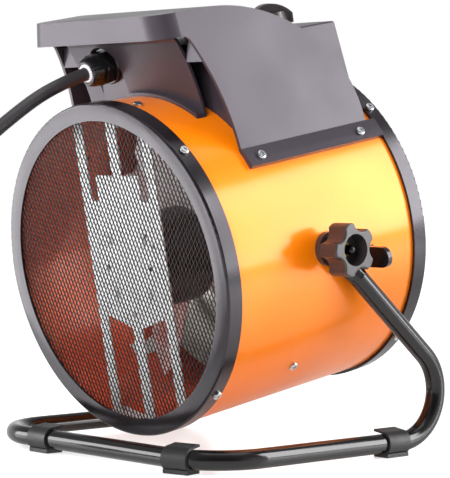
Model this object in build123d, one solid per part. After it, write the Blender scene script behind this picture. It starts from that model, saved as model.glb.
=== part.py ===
from build123d import *
import os
from math import acos, asin, atan2, cos, degrees, hypot, pi, radians, sin, sqrt, tan

# Drum-shaped electric forced air heater on a bent tube stand, in millimetres.
# The heater is drawn in its own frame: X runs along the airflow from the intake face, Z is up across
# the drum, and the drum axis is Y = Z = 0. on_heater() then tilts it about the pivot and sets it on
# the stand. The model's frame has +Z up, +X towards the outlet and the floor at Z = 0.

# ---------------------------------------------------------------- driving dimensions
GAP = 0.3  # clear of a neighbour that moves
SEAT = 0.05  # clearance of a piece that is pushed over or into another

DRUM_LENGTH = 226.0  # intake face to outlet face, over the rings
DRUM_RADIUS = 136.0
DRUM_WALL = 1.0
RING_WALL = 2.5
RING_BAND = 15.0  # width of the ring's band on the drum
RING_LEDGE = 12.0  # how far the ring's face reaches in from the drum's outside
RING_OPENING_RADIUS = DRUM_RADIUS - RING_LEDGE
RING_CORNER = 2.0
RING_CROWN = 0.3  # how far the face's middle stands proud of its two edges

TILT_DEG = 10.0  # outlet raised, as it stands in use
TILT_TRAVEL_DEG = 10.0  # up and down from there
PIVOT_HEIGHT = 172.5
PIVOT_ALONG = 113.0  # from the intake face

TUBE_RADIUS = 8.0
TUBE_WALL = 1.4
STAND_FRONT = 129.3  # pivot to the cross tube, forward
STAND_BACK = 185.5  # pivot to where arm and rail lines meet, backward
BEND_FRONT = 50.0
BEND_BACK = 40.0
TAB_THICKNESS = 5.0  # flattened tube end
SPACER_LENGTH = 5.0  # between the drum and the flattened end
STAND_HALF_WIDTH = DRUM_RADIUS + SPACER_LENGTH + TAB_THICKNESS / 2  # mid-plane to the tube's centreline
TAB_RADIUS = 11.0
TAB_ROUND_END = 34.0  # pivot to where the tube is round again
TAB_FLAT_END = 18.0  # pivot to where the flat begins to open

CLIP_WALL = 3.4  # under the tube, to the floor
CLIP_SIDE = 2.0  # round the tube's side
CLIP_FOOT = 9.0  # the foot reaches in past the tube's middle
CLIP_HEEL = 7.0  # and out past it
CLIP_LENGTH = 24.0
CLIP_LIP = 9.5
CLIP_LIP_DEG = 8.0  # the upper lip rises inwards, to let the tube in
CLIP_ACROSS_NEAR = 104.0  # cross tube clips, from the mid-plane
CLIP_ACROSS_FAR = 69.0
CLIP_BACK = 67.0  # rail clips, behind the pivot

BOLT_RADIUS = 4.0
BOLT_HEAD_RADIUS = 9.0
BOLT_HEAD = 4.0
PIVOT_RUNNING = 0.08
SPACER_RADIUS = 14.0
KNOB_RADIUS = 22.0
KNOB_LOBES = 5
KNOB_DEPTH = 19.0
KNOB_HUB_RADIUS = 13.0
KNOB_HUB = 3.0
KNOB_BORE_RADIUS = 12.8
KNOB_TURN_DEG = 27.0  # first lobe, up from the airflow's direction
KNOB_EDGE = 1.4  # rounding of its front edges
KNOB_BORE_DEPTH = 13.0
INSERT_RADIUS = 6.5

STOP_ALONG = 42.0  # tilt stop's middle, past the pivot
STOP_THICKNESS = 4.5
STOP_HEIGHT = 17.0
STOP_REACH = 27.5  # out from the drum
STOP_PLATE = 2.0

COVER_WALL = 3.0
COVER_FRONT = 11.5  # lip of the handle, from the intake face
COVER_RISE = 68.0  # top of the cover over the drum
COVER_TOP = DRUM_RADIUS + COVER_RISE
COVER_LIP_HEIGHT = 19.4
COVER_FLAT_END = 64.0  # where the top begins to fall
COVER_TOP_ARC = 162.0
COVER_TOP_ARC_DEG = 40.6
COVER_BACK_ARC = 93.0
COVER_SKIN_END = 146.0  # the top skin stops here, the side panels go on
COVER_HALF_TOP = 83.8  # panel's outside at the lip's top edge
COVER_FOOT_DEG = 50.25  # round the drum, from straight up to the panel's foot
COVER_HALF_FOOT = (DRUM_RADIUS + COVER_WALL) * sin(radians(COVER_FOOT_DEG))
COVER_FOOT = (DRUM_RADIUS + COVER_WALL) * cos(radians(COVER_FOOT_DEG))
COVER_LIP_ROUND = 20.0
THROAT_ARC = 195.0  # side view of the hand gap's back
THROAT_FOOT = 61.0
THROAT_SINK = 44.0  # the arc's lowest point under the drum's top
THROAT_FOOT_HEIGHT = DRUM_RADIUS - THROAT_SINK
THROAT_ROUND = 9.5
FLANGE_THICKNESS = 4.5
FLANGE_START_DEG = 50.0
FLANGE_END_DEG = 57.0
SCOOP_WALL = 2.5
SCOOP_HALF = 70.0
SCOOP_LIP = 4.0  # the lip on the drum: how far it reaches behind the wall's front
SCOOP_LIP_FRONT = 5.0  # and in front of it
SCOOP_LIP_RISE = 3.0
GUSSET_THICKNESS = 2.0
GUSSET_DROP = 22.0  # foot and top of the gusset, under the lip's lower edge
GUSSET_START = 5.6

GLAND_SIDE = 33.0  # gland axis, to the far side of the mid-plane
GLAND_ALONG = 52.0
GLAND_RISE = 27.0  # gland axis over the drum's top
GLAND_HEIGHT = DRUM_RADIUS + GLAND_RISE
GLAND_DROOP_DEG = 8.0
PAD_HALF = 17.0
PAD_DROP = 42.0
PAD_DEPTH = 12.0
PAD_WALL = 2.5
GLAND_BASE_RADIUS = 16.0
GLAND_BASE = 5.0
GLAND_HEX = 26.0  # across flats
GLAND_BODY_HEX = 9.0
GLAND_NUT = 14.0
GLAND_THREAD_RADIUS = 10.0
GLAND_THREAD = 10.0
GLAND_LOCKNUT_HEX = 27.0
GLAND_LOCKNUT = 4.0

BOX_FRONT = 72.0
BOX_BACK = 205.0
BOX_RISE = 38.0
BOX_TOP = DRUM_RADIUS + BOX_RISE
BOX_INSET = 9.2  # box side to the cover panel's outside
BOX_WALL = 2.5
BOX_ROUND = 2.0

SELECTOR_ALONG = 168.0
SELECTOR_SIDE = 42.0
SELECTOR_RADIUS = 18.0
SELECTOR_SKIRT = 4.0
SELECTOR_HEIGHT = 21.0
SELECTOR_GRIP = 11.0
SELECTOR_RIM = 2.0  # rim left round the grip's hollowed sides
SELECTOR_SHAFT_RADIUS = 3.0
SELECTOR_SHAFT = 14.0  # stands out of the box top
SWITCH_SIDE = 34.0
SWITCH_DEPTH = 26.0
BULB_RADIUS = 3.2
BULB_LENGTH = 45.0
BULB_ALONG = 56.0
BULB_DEG = 16.0

GRILLE_WALL = 1.0
GRILLE_CELL = 13.0  # diamond's short pitch in this model
GRILLE_CELL_LONG = 23.0
GRILLE_STRAND = 1.6
GUARD_WIRE = 1.1
GUARD_PITCH = 13.4
GUARD_SPOKES = 6
GUARD_BAR = 2.2

BRACKET_ALONG = 17.0
BRACKET_WALL = 1.5
BRACKET_STRIP_SIDE = 43.0
BRACKET_STRIP = 11.0
BRACKET_MIDDLE = 12.0
BRACKET_BODY_TOP = 76.0
BRACKET_BODY_FOOT = -42.0
BRACKET_BODY_POINT = -52.0
BRACKET_NOTCH = 10.0
BRACKET_NOTCH_FOOT = 54.0
BRACKET_HOLES = ((26.0, 26.0), (35.0, 18.0), (27.0, -1.0))  # punched on both sides of the middle
BRACKET_HOLE_RADIUS = 2.2
BRACKET_LOW_HOLE = -40.0
BRACKET_FLANGE = 13.0
BRACKET_FLANGE_DEG = 21.0
BRACKET_SCREW_DEG = 13.0

MOTOR_RADIUS = 40.0
MOTOR_LENGTH = 52.0
MOTOR_WALL = 1.5
MOTOR_CAP = 4.0
MOTOR_POST = 6.0  # bracket to motor
MOTOR_BOLT_CIRCLE = 31.0
STATOR_BORE = 22.0
ROTOR_LENGTH = 30.0
BEARING_RADIUS = 8.0
BEARING_WIDTH = 5.0
SHAFT_RADIUS = 4.0
SHAFT_OVERHANG = 32.0
FAN_CLEAR = 18.0  # blade tip to the drum's outside
FAN_RADIUS = DRUM_RADIUS - FAN_CLEAR
FAN_BLADES = 5
FAN_HUB_RADIUS = 20.0
FAN_HUB = 16.0
FAN_BLADE = 1.5
FAN_PITCH_DEG = 28.0
FAN_CHORD_ROOT = 34.0
FAN_CHORD_TIP = 86.0
FAN_GAP = 5.0

SHIELD_CLEAR = 18.0
SHIELD_RADIUS = DRUM_RADIUS - SHIELD_CLEAR
SHIELD_WALL = 0.8
SHIELD_START = 118.0
SHIELD_TAB = 14.0
SHIELD_SCREW_ALONG = 94.0
SHIELD_SCREW_DEG = 46.0  # lower pair, from straight down
SHIELD_TOP_DEG = 36.0  # upper pair, inside the control box

ELEMENT_RADIUS = 4.25
ELEMENT_SPACING = 21.0  # one ring's radius to the next, and the last one's to the shield with 3 to spare
ELEMENT_RINGS = tuple(SHIELD_RADIUS - 18.0 - ELEMENT_SPACING * n for n in (2, 1, 0))
ELEMENT_FIRST = 140.0
ELEMENT_STEP = 22.0
ELEMENT_LEG = 9.0  # half the distance between the legs
ELEMENT_BEND = 12.0
ELEMENT_STUD = 12.0  # stands out of the drum into the box
BEAD_RADIUS = 7.0
SUPPORT_WALL = 1.5

SCREW_HEAD_RADIUS = 4.0
SCREW_HEAD = 2.6
SCREW_RADIUS = 1.9
SCREW_RECESS = 0.9
SCREW_LENGTH = 9.0

CORD_RADIUS = 5.5
CORD_GRIP = 0.5  # the gland's seal closes on the cord
COIL_GAP = 0.6
COIL_OUTER = 72.0
COIL_LAYER_TURNS = 1.0
COIL_TUCK = 2.5  # inwards while the cord climbs to its second layer
TIE_WALL = 1.0
TIE_CLEAR = 0.3  # the turns curve and draw in a little under the tie
TIE_WIDTH = 8.0
PLUG_RADIUS = 19.0
PLUG_LENGTH = 38.0
PLUG_RELIEF = 32.0
PIN_RADIUS = 2.4
PIN_LENGTH = 19.0
PIN_SPACING = 19.0

# ---------------------------------------------------------------- the stand in the model's frame
STAND_LEVEL = TUBE_RADIUS + CLIP_WALL  # the tube's centreline over the floor
RING_RADIUS = DRUM_RADIUS + RING_WALL + SEAT
TILT = radians(TILT_DEG)
X_FIRST = -STAND_FRONT - TUBE_RADIUS - CLIP_WALL - SEAT
X_LAST = (DRUM_LENGTH - PIVOT_ALONG) * cos(TILT) + RING_RADIUS * sin(TILT)
PIVOT_X = -(X_FIRST + X_LAST) / 2  # puts the origin under the middle of the object's box

parts = {}


def on_heater(shape):
    """Takes a shape from the heater's own frame to its tilted place on the stand."""
    return Pos(PIVOT_X, 0, PIVOT_HEIGHT) * Rot(0, -TILT_DEG, 0) * Pos(-PIVOT_ALONG, 0, 0) * shape


def keep(name, *shapes):
    """Files a sub-part's solids under its node name."""
    solids = []
    for shape in shapes:
        solids.extend(shape.solids())
    parts[name] = solids


def rod_x(radius, start, end, y=0.0, z=0.0):
    return Pos(start, y, z) * Rot(0, 90, 0) * extrude(Circle(radius), end - start)


def rod_y(radius, start, end, x=0.0, z=0.0):
    return Pos(x, start, z) * Rot(-90, 0, 0) * extrude(Circle(radius), end - start)


def rod_z(radius, start, end, x=0.0, y=0.0):
    return Pos(x, y, start) * extrude(Circle(radius), end - start)


def pipe_x(outer, inner, start, end):
    return rod_x(outer, start, end) - rod_x(inner, start - 1, end + 1)


def side_face(*edges):
    """A face in the XZ plane, at Y = 0, from edges drawn with x and z as their first two numbers."""
    return Plane.XZ * make_face(Curve() + list(edges))


def across(face, half):
    """A face at Y = 0, stretched to both sides."""
    return extrude(face, half, both=True)


def around(shape, angle_deg):
    """Turns a shape about the drum axis, from the top towards the near side (-Y)."""
    return Rot(angle_deg, 0, 0) * shape


def screw(length=SCREW_LENGTH):
    """Pan-head screw along -Z, its seat at the origin, with a crossed recess."""
    head = extrude(Circle(SCREW_HEAD_RADIUS), SCREW_HEAD)
    head = fillet(head.faces().sort_by(Axis.Z)[-1].edges(), SCREW_HEAD * 0.5)
    slot = Box(SCREW_HEAD_RADIUS * 1.1, SCREW_RECESS, SCREW_HEAD)
    recess = Pos(0, 0, SCREW_HEAD) * (slot + Rot(0, 0, 90) * slot)
    return head - recess + extrude(Circle(SCREW_RADIUS), -length)


def radial_screws(radius, alongs, angles, length=SCREW_LENGTH):
    """Screws that point to the drum axis, each with its seat flat on the curved wall."""
    seat = rod_x(radius, -20, DRUM_LENGTH + 20)
    made = []
    for along in alongs:
        for angle in angles:
            one = around(Pos(along, 0, radius) * screw(length), angle)
            head = one - seat
            made.append(head.solids().sort_by(SortBy.VOLUME)[-1])
    return made


def radial_holes(alongs, angles, radius=SCREW_RADIUS + SEAT, reach=DRUM_RADIUS):
    return [
        around(rod_z(radius, reach - 25, reach + 25, along), angle)
        for along in alongs
        for angle in angles
    ]


# ---------------------------------------------------------------- stand
def tube_end_tab():
    """Flattened end of the arm, from the pivot at the origin along +X to the round tube."""
    flat = SlotCenterToCenter(TAB_FLAT_END, 2 * TAB_RADIUS)
    plate = Rot(90, 0, 0) * Pos(TAB_FLAT_END / 2, 0, -TAB_THICKNESS / 2) * extrude(flat, TAB_THICKNESS)
    plate &= Pos(-TAB_RADIUS, 0, 0) * Box(
        TAB_RADIUS + TAB_FLAT_END, 50, 50, align=(Align.MIN, Align.CENTER, Align.CENTER)
    )
    thin = Plane((TAB_FLAT_END, 0, 0), x_dir=(0, 1, 0), z_dir=(1, 0, 0)) * RectangleRounded(
        TAB_THICKNESS, 2 * TAB_RADIUS, TAB_THICKNESS / 2 - 0.01
    )
    round_end = Plane((TAB_ROUND_END, 0, 0), x_dir=(0, 1, 0), z_dir=(1, 0, 0)) * Circle(TUBE_RADIUS)
    neck = loft([thin, round_end])
    return plate + neck - rod_y(BOLT_RADIUS + PIVOT_RUNNING, -20, 20)


def stand_path(first_run):
    """Centreline of the bent tube, from the near arm round the front to the far arm."""
    side, level = STAND_HALF_WIDTH, STAND_LEVEL
    rise = PIVOT_HEIGHT - level
    reach = hypot(STAND_BACK, rise)
    start = (STAND_BACK * first_run / reach, PIVOT_HEIGHT - rise * first_run / reach)
    near = [
        (start[0], -side, start[1]),
        (STAND_BACK, -side, level),
        (-STAND_FRONT, -side, level),
    ]
    far = [(x, -y, z) for x, y, z in reversed(near)]
    return FilletPolyline(*near, *far, radius=[BEND_BACK, BEND_FRONT, BEND_FRONT, BEND_BACK])


def make_stand():
    path = stand_path(TAB_ROUND_END)
    start = Plane(origin=path @ 0, z_dir=path % 0)
    tube = sweep(start * (Circle(TUBE_RADIUS) - Circle(TUBE_RADIUS - TUBE_WALL)), path=path)
    lean = degrees(atan2(PIVOT_HEIGHT - STAND_LEVEL, STAND_BACK))
    tabs = [
        Pos(0, side * STAND_HALF_WIDTH, PIVOT_HEIGHT) * Rot(0, lean, 0) * tube_end_tab()
        for side in (-1, 1)
    ]
    keep("stand_tube", Pos(PIVOT_X, 0, 0) * (tube + tabs))

    # clips: a half ring round the tube's outer side, with a flat foot and two lips that point inwards
    outer, sole = TUBE_RADIUS + SEAT + CLIP_SIDE, TUBE_RADIUS + SEAT + CLIP_WALL
    profile = Circle(outer) - Pos(outer, 0) * Rectangle(2 * outer, 2 * outer)
    foot = Pos(CLIP_FOOT, -sole) * Rectangle(CLIP_FOOT + CLIP_HEEL, CLIP_WALL, align=(Align.MAX, Align.MIN))
    top = Pos(0, outer - CLIP_SIDE / 2) * Rot(0, 0, CLIP_LIP_DEG) * Rectangle(
        CLIP_LIP, CLIP_SIDE, align=(Align.MIN, Align.CENTER)
    )
    profile = profile + foot + top + Pos(0, outer - CLIP_SIDE / 2) * Circle(CLIP_SIDE / 2)
    clip = Rot(90, 0, 0) * extrude(profile, CLIP_LENGTH / 2, both=True)
    # the near front clip sits at the start of the tube's bend
    bend_x, bend_y = BEND_FRONT - STAND_FRONT, BEND_FRONT - STAND_HALF_WIDTH
    round_bend = asin((CLIP_ACROSS_NEAR + bend_y) / BEND_FRONT)
    places = [
        (bend_x - BEND_FRONT * cos(round_bend), -CLIP_ACROSS_NEAR, degrees(round_bend)),
        (-STAND_FRONT, CLIP_ACROSS_FAR, 0),
        (CLIP_BACK, -STAND_HALF_WIDTH, 90),
        (CLIP_BACK, STAND_HALF_WIDTH, -90),
    ]
    room = sweep(start * Circle(TUBE_RADIUS + SEAT), path=path)
    clips = []
    for x, y, turn in places:
        clips.append(Pos(PIVOT_X, 0, 0) * (Pos(x, y, STAND_LEVEL + SEAT) * Rot(0, 0, turn) * clip - room))
    keep("foot_clips", *clips)


# ---------------------------------------------------------------- drum, rings and grilles
# how far from the axis a tool cuts through shield and drum
THROUGH_SHELL = (SHIELD_RADIUS - 15, DRUM_RADIUS + 25)
RING_ALONG = (RING_BAND * 0.62, DRUM_LENGTH - RING_BAND * 0.62)
RING_SCREW_DEG = (45, 135, 225, 315)


def ring(turned):
    """Trim ring: face with the round opening, and a band over the end of the drum."""
    edge, outer = (RING_CROWN, RING_OPENING_RADIUS), (RING_CROWN, RING_RADIUS - RING_CORNER)
    shoulder = (RING_CROWN + RING_CORNER, RING_RADIUS)
    round_off = RING_CORNER * (1 - cos(radians(45)))
    section = [
        ThreePointArc(edge, (0, (edge[1] + outer[1]) / 2), outer),
        ThreePointArc(outer, (RING_CROWN + round_off, RING_RADIUS - round_off), shoulder),
        Polyline(
            shoulder,
            (RING_BAND, RING_RADIUS),
            (RING_BAND, DRUM_RADIUS + SEAT),
            (RING_WALL, DRUM_RADIUS + SEAT),
            (RING_WALL, RING_OPENING_RADIUS),
            edge,
        ),
    ]
    body = revolve(Plane.XZ * make_face(section), Axis.X)
    if turned:
        body = Pos(DRUM_LENGTH, 0, 0) * Rot(0, 0, 180) * body
    return body


def make_drum():
    holes = radial_holes(RING_ALONG, RING_SCREW_DEG)
    shell = pipe_x(DRUM_RADIUS, DRUM_RADIUS - DRUM_WALL, RING_WALL + SEAT, DRUM_LENGTH - RING_WALL - SEAT)
    pivots = rod_y(BOLT_RADIUS + SEAT, -DRUM_RADIUS - 5, DRUM_RADIUS + 5, PIVOT_ALONG)
    legs = [
        rod_z(BEAD_RADIUS + SEAT, *THROUGH_SHELL, at, side * ELEMENT_LEG)
        for at in element_places()
        for side in (-1, 1)
    ]
    cover = radial_holes(COVER_SCREW_ALONG, (-COVER_SCREW_DEG, COVER_SCREW_DEG))
    bracket = radial_holes((BRACKET_SCREW_ALONG,), BRACKET_SCREW_ANGLES)
    shield = radial_holes((SHIELD_SCREW_ALONG,), SHIELD_SCREW_ANGLES)
    cutout = radial_holes((CUTOUT_ALONG,), (0,), CUTOUT_RADIUS + SEAT)
    for tool in [pivots] + legs + holes + cover + bracket + shield + cutout:
        shell -= tool
    keep("drum_shell", on_heater(shell))
    for name, turned, along in (("intake_ring", False, RING_ALONG[0]), ("outlet_ring", True, RING_ALONG[1])):
        body = ring(turned)
        for tool in radial_holes((along,), RING_SCREW_DEG):
            body -= tool
        keep(name, on_heater(body))
    keep("ring_screws", *[on_heater(one) for one in radial_screws(RING_RADIUS, RING_ALONG, RING_SCREW_DEG)])


def make_grilles():
    """Expanded metal over the intake in a coarse grid, and a guard of round wire over the outlet."""
    radius = DRUM_RADIUS - DRUM_WALL - SEAT
    half_cell = (GRILLE_CELL - GRILLE_STRAND, GRILLE_CELL_LONG - GRILLE_STRAND * 2)
    diamond = Polygon(
        (half_cell[0] / 2, 0), (0, half_cell[1] / 2), (-half_cell[0] / 2, 0), (0, -half_cell[1] / 2)
    )
    reach = RING_OPENING_RADIUS - GRILLE_CELL_LONG * 0.35
    steps_across = int(reach // (GRILLE_CELL / 2)) + 1
    steps_up = int(reach // (GRILLE_CELL_LONG / 2)) + 1
    holes = []
    for i in range(-steps_across, steps_across + 1):
        for j in range(-steps_up, steps_up + 1):
            y, z = i * GRILLE_CELL / 2, j * GRILLE_CELL_LONG / 2
            if (i + j) % 2 == 0 and hypot(y, z) < reach:
                holes.append(Pos(y, z) * diamond)
    sheet = Circle(radius) - holes
    start = Plane((RING_WALL + SEAT, 0, 0), x_dir=(0, 1, 0), z_dir=(1, 0, 0))
    keep("intake_grille", on_heater(extrude(start * sheet, GRILLE_WALL)))

    level = DRUM_LENGTH - RING_WALL - SEAT - GUARD_WIRE
    rim = DRUM_RADIUS - DRUM_WALL - GUARD_WIRE - SEAT
    rings = int((rim - GUARD_PITCH / 2) // GUARD_PITCH)
    upright = Pos(level, 0, 0) * Rot(0, 90, 0)
    wires = [upright * Torus(GUARD_PITCH * (n + 1), GUARD_WIRE) for n in range(rings)]
    wires.append(Pos(level, 0, 0) * Rot(0, 90, 0) * Torus(rim, GUARD_WIRE))
    bar = Box(GUARD_BAR, GUARD_BAR, rim - GUARD_PITCH)
    bar = Pos(level - GUARD_BAR * 0.6, 0, (GUARD_PITCH + rim) / 2) * bar
    bars = [Rot(360 / GUARD_SPOKES * n, 0, 0) * bar for n in range(GUARD_SPOKES)]
    keep("outlet_guard", on_heater(wires[0].fuse(*wires[1:], *bars)))


# ---------------------------------------------------------------- motor, fan and their bracket
BRACKET_SCREW_ALONG = BRACKET_ALONG + BRACKET_WALL + BRACKET_FLANGE * 0.45
BRACKET_SCREW_ANGLES = tuple(end + side * BRACKET_SCREW_DEG for end in (0, 180) for side in (-1, 1))
MOTOR_START = BRACKET_ALONG + BRACKET_WALL + MOTOR_POST
MOTOR_END = MOTOR_START + MOTOR_LENGTH
FAN_START = MOTOR_END + FAN_GAP
SHAFT_END = MOTOR_END + SHAFT_OVERHANG


def make_bracket():
    """Pressed sheet across the intake: three upright strips, a wide middle and two curved flanges."""
    face = Plane((BRACKET_ALONG, 0, 0), x_dir=(0, 1, 0), z_dir=(1, 0, 0))
    inner = DRUM_RADIUS - DRUM_WALL - SEAT
    half = BRACKET_STRIP_SIDE + BRACKET_STRIP / 2
    body = make_face(
        Polyline(
            (half, BRACKET_BODY_TOP),
            (half, BRACKET_BODY_FOOT),
            (half - BRACKET_STRIP, BRACKET_BODY_FOOT),
            (BRACKET_MIDDLE / 2, BRACKET_BODY_POINT),
            (-BRACKET_MIDDLE / 2, BRACKET_BODY_POINT),
            (BRACKET_STRIP - half, BRACKET_BODY_FOOT),
            (-half, BRACKET_BODY_FOOT),
            (-half, BRACKET_BODY_TOP),
            close=True,
        )
    )
    strips = Rectangle(BRACKET_MIDDLE, 2 * inner)
    for side in (-1, 1):
        strips += Pos(side * BRACKET_STRIP_SIDE, 0) * Rectangle(BRACKET_STRIP, 2 * inner)
    notch_place = half - BRACKET_STRIP - BRACKET_NOTCH / 2
    notch = Pos(0, BRACKET_BODY_TOP) * Rectangle(
        BRACKET_NOTCH, 2 * (BRACKET_BODY_TOP - BRACKET_NOTCH_FOOT - BRACKET_NOTCH / 2)
    )
    notch += Pos(0, BRACKET_NOTCH_FOOT + BRACKET_NOTCH / 2) * Circle(BRACKET_NOTCH / 2)
    for side in (-1, 1):
        body -= Pos(side * notch_place, 0) * notch
    sheet = (body + strips) & Circle(inner)
    for angle in range(45, 360, 90):
        sheet -= Rot(0, 0, angle) * Pos(MOTOR_BOLT_CIRCLE, 0) * Circle(SCREW_RADIUS + SEAT)
    holes = [(side * y, z) for y, z in BRACKET_HOLES for side in (-1, 1)] + [(0, BRACKET_LOW_HOLE)]
    for y, z in holes:
        sheet -= Pos(y, z) * Circle(BRACKET_HOLE_RADIUS)
    plate = extrude(face * sheet, BRACKET_WALL)
    band = extrude(face * (Circle(inner) - Circle(inner - BRACKET_WALL)), BRACKET_WALL + BRACKET_FLANGE)
    wedge = face * make_face(
        Polyline(
            (0, 0),
            (-2 * inner * sin(radians(BRACKET_FLANGE_DEG)), 2 * inner * cos(radians(BRACKET_FLANGE_DEG))),
            (2 * inner * sin(radians(BRACKET_FLANGE_DEG)), 2 * inner * cos(radians(BRACKET_FLANGE_DEG))),
            close=True,
        )
    )
    sector = extrude(wedge, BRACKET_WALL + BRACKET_FLANGE)
    band = band & (sector + Rot(180, 0, 0) * sector)
    bracket = plate + band
    for tool in radial_holes((BRACKET_SCREW_ALONG,), BRACKET_SCREW_ANGLES):
        bracket -= tool
    keep("motor_bracket", on_heater(bracket))
    keep(
        "bracket_screws",
        *[on_heater(s) for s in radial_screws(DRUM_RADIUS, (BRACKET_SCREW_ALONG,), BRACKET_SCREW_ANGLES, 6)],
    )
    post = rod_x(MOTOR_POST * 0.8, BRACKET_ALONG + BRACKET_WALL, MOTOR_START)
    post -= rod_x(SCREW_RADIUS + SEAT, 0, 100)
    bolt = rod_x(SCREW_HEAD_RADIUS, BRACKET_ALONG - SCREW_HEAD, BRACKET_ALONG)
    bolt += rod_x(SCREW_RADIUS, BRACKET_ALONG, MOTOR_START + MOTOR_CAP)
    places = [Rot(angle, 0, 0) * Pos(0, MOTOR_BOLT_CIRCLE, 0) for angle in range(45, 360, 90)]
    keep("motor_posts", *[on_heater(place * post) for place in places])
    keep("motor_screws", *[on_heater(place * bolt) for place in places])


def make_motor():
    front, back = MOTOR_START, MOTOR_END
    can = pipe_x(MOTOR_RADIUS, MOTOR_RADIUS - MOTOR_WALL, front + MOTOR_CAP, back - MOTOR_CAP)
    keep("motor_can", on_heater(can))
    seat = BEARING_RADIUS + SEAT
    caps = []
    for start, pocket in ((front, front + MOTOR_CAP), (back - MOTOR_CAP, back - MOTOR_CAP - BEARING_WIDTH)):
        cap = rod_x(MOTOR_RADIUS, start, start + MOTOR_CAP)
        boss = rod_x(BEARING_RADIUS + 4, pocket, pocket + BEARING_WIDTH)
        boss -= rod_x(seat, pocket - 1, pocket + 20)
        cap = cap - rod_x(SHAFT_RADIUS + 0.6, start - 1, start + 20) + boss
        caps.append(cap)
    for angle in range(45, 360, 90):
        caps[0] -= Rot(angle, 0, 0) * rod_x(SCREW_RADIUS + SEAT, front - 1, front + 10, MOTOR_BOLT_CIRCLE)
    keep("motor_front_cap", on_heater(caps[0]))
    keep("motor_back_cap", on_heater(caps[1]))
    middle = (front + back) / 2
    half = ROTOR_LENGTH / 2
    stator = pipe_x(MOTOR_RADIUS - MOTOR_WALL - SEAT, STATOR_BORE, middle - half, middle + half)
    keep("motor_stator", on_heater(stator))
    bearing_starts = (front + MOTOR_CAP, back - MOTOR_CAP - BEARING_WIDTH)
    bearings = [
        pipe_x(BEARING_RADIUS, SHAFT_RADIUS + PIVOT_RUNNING, start, start + BEARING_WIDTH)
        for start in bearing_starts
    ]
    keep("motor_bearings", *[on_heater(one) for one in bearings])
    shaft_start = front + MOTOR_CAP / 2
    keep("motor_shaft", on_heater(rod_x(SHAFT_RADIUS, shaft_start, SHAFT_END)))
    rotor = pipe_x(STATOR_BORE - 2 * GAP, SHAFT_RADIUS + SEAT, middle - half, middle + half)
    keep("motor_rotor", on_heater(rotor))


def fan_blade():
    """Sheet blade that widens to the tip, pitched about its radial line."""
    root, tip = FAN_HUB_RADIUS - 3, FAN_RADIUS
    outline = make_face(
        Polyline(
            (-FAN_CHORD_ROOT / 2, root),
            (-FAN_CHORD_TIP / 2, tip * 0.8),
            (-FAN_CHORD_TIP * 0.3, tip * 0.99),
            (FAN_CHORD_TIP * 0.38, tip * 0.99),
            (FAN_CHORD_TIP / 2, tip * 0.7),
            (FAN_CHORD_ROOT / 2, root),
            close=True,
        )
    )
    corners = outline.vertices().filter_by(lambda v: v.Y > root + 5)
    outline = fillet(corners, 12)
    sheet = extrude(Plane.YZ * outline, FAN_BLADE / 2, both=True)
    return Rot(0, 0, FAN_PITCH_DEG) * sheet


def make_fan():
    middle = FAN_START + FAN_HUB / 2
    hub = rod_x(FAN_HUB_RADIUS, FAN_START, FAN_START + FAN_HUB) - rod_x(SHAFT_RADIUS + SEAT, 0, 300)
    fan = hub
    bore = rod_x(SHAFT_RADIUS + SEAT, 0, 300)
    for n in range(FAN_BLADES):
        fan += Pos(middle, 0, 0) * Rot(360 / FAN_BLADES * n, 0, 0) * fan_blade()
    fan = (fan - bore) & rod_x(FAN_RADIUS, FAN_START - 40, FAN_START + FAN_HUB + 40)
    keep("fan", on_heater(fan))
    nut_start = FAN_START + FAN_HUB
    nut = Pos(nut_start, 0, 0) * Rot(0, 90, 0) * extrude(RegularPolygon(6.5, 6, major_radius=False), 6)
    keep("fan_nut", on_heater(nut - rod_x(SHAFT_RADIUS + SEAT, 0, 300)))


# ---------------------------------------------------------------- heat shield, elements and controls
SHIELD_SCREW_ANGLES = (SHIELD_TOP_DEG, 180 - SHIELD_SCREW_DEG, 180 + SHIELD_SCREW_DEG, -SHIELD_TOP_DEG)
CUTOUT_ALONG = SHIELD_START - 12
CUTOUT_RADIUS = 8.0


def element_places():
    return [ELEMENT_FIRST + n * ELEMENT_STEP for n in range(len(ELEMENT_RINGS))]


def element(radius, along):
    """Tubular heater: a nearly closed ring with two legs that rise through shield and drum."""
    leg, bend = ELEMENT_LEG, ELEMENT_BEND
    top = DRUM_RADIUS + ELEMENT_STUD
    # the leg's corner bend touches the ring from outside it
    side = leg + bend
    height = sqrt((radius + bend) ** 2 - side**2)
    touch = (side * radius / (radius + bend), height * radius / (radius + bend))
    mid = (side - bend * cos(radians(40)), height - bend * sin(radians(40)))
    half = [
        Line((leg, top), (leg, height)),
        ThreePointArc((leg, height), mid, touch),
    ]
    other = [
        ThreePointArc((-touch[0], touch[1]), (-mid[0], mid[1]), (-leg, height)),
        Line((-leg, height), (-leg, top)),
    ]
    loop = ThreePointArc(touch, (0, -radius), (-touch[0], touch[1]))
    wire = Wire(half + [loop] + other)
    path = Plane((along, 0, 0), x_dir=(0, 1, 0), z_dir=(1, 0, 0)) * wire
    return sweep(Plane(origin=path @ 0, z_dir=path % 0) * Circle(ELEMENT_RADIUS), path=path)


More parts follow.
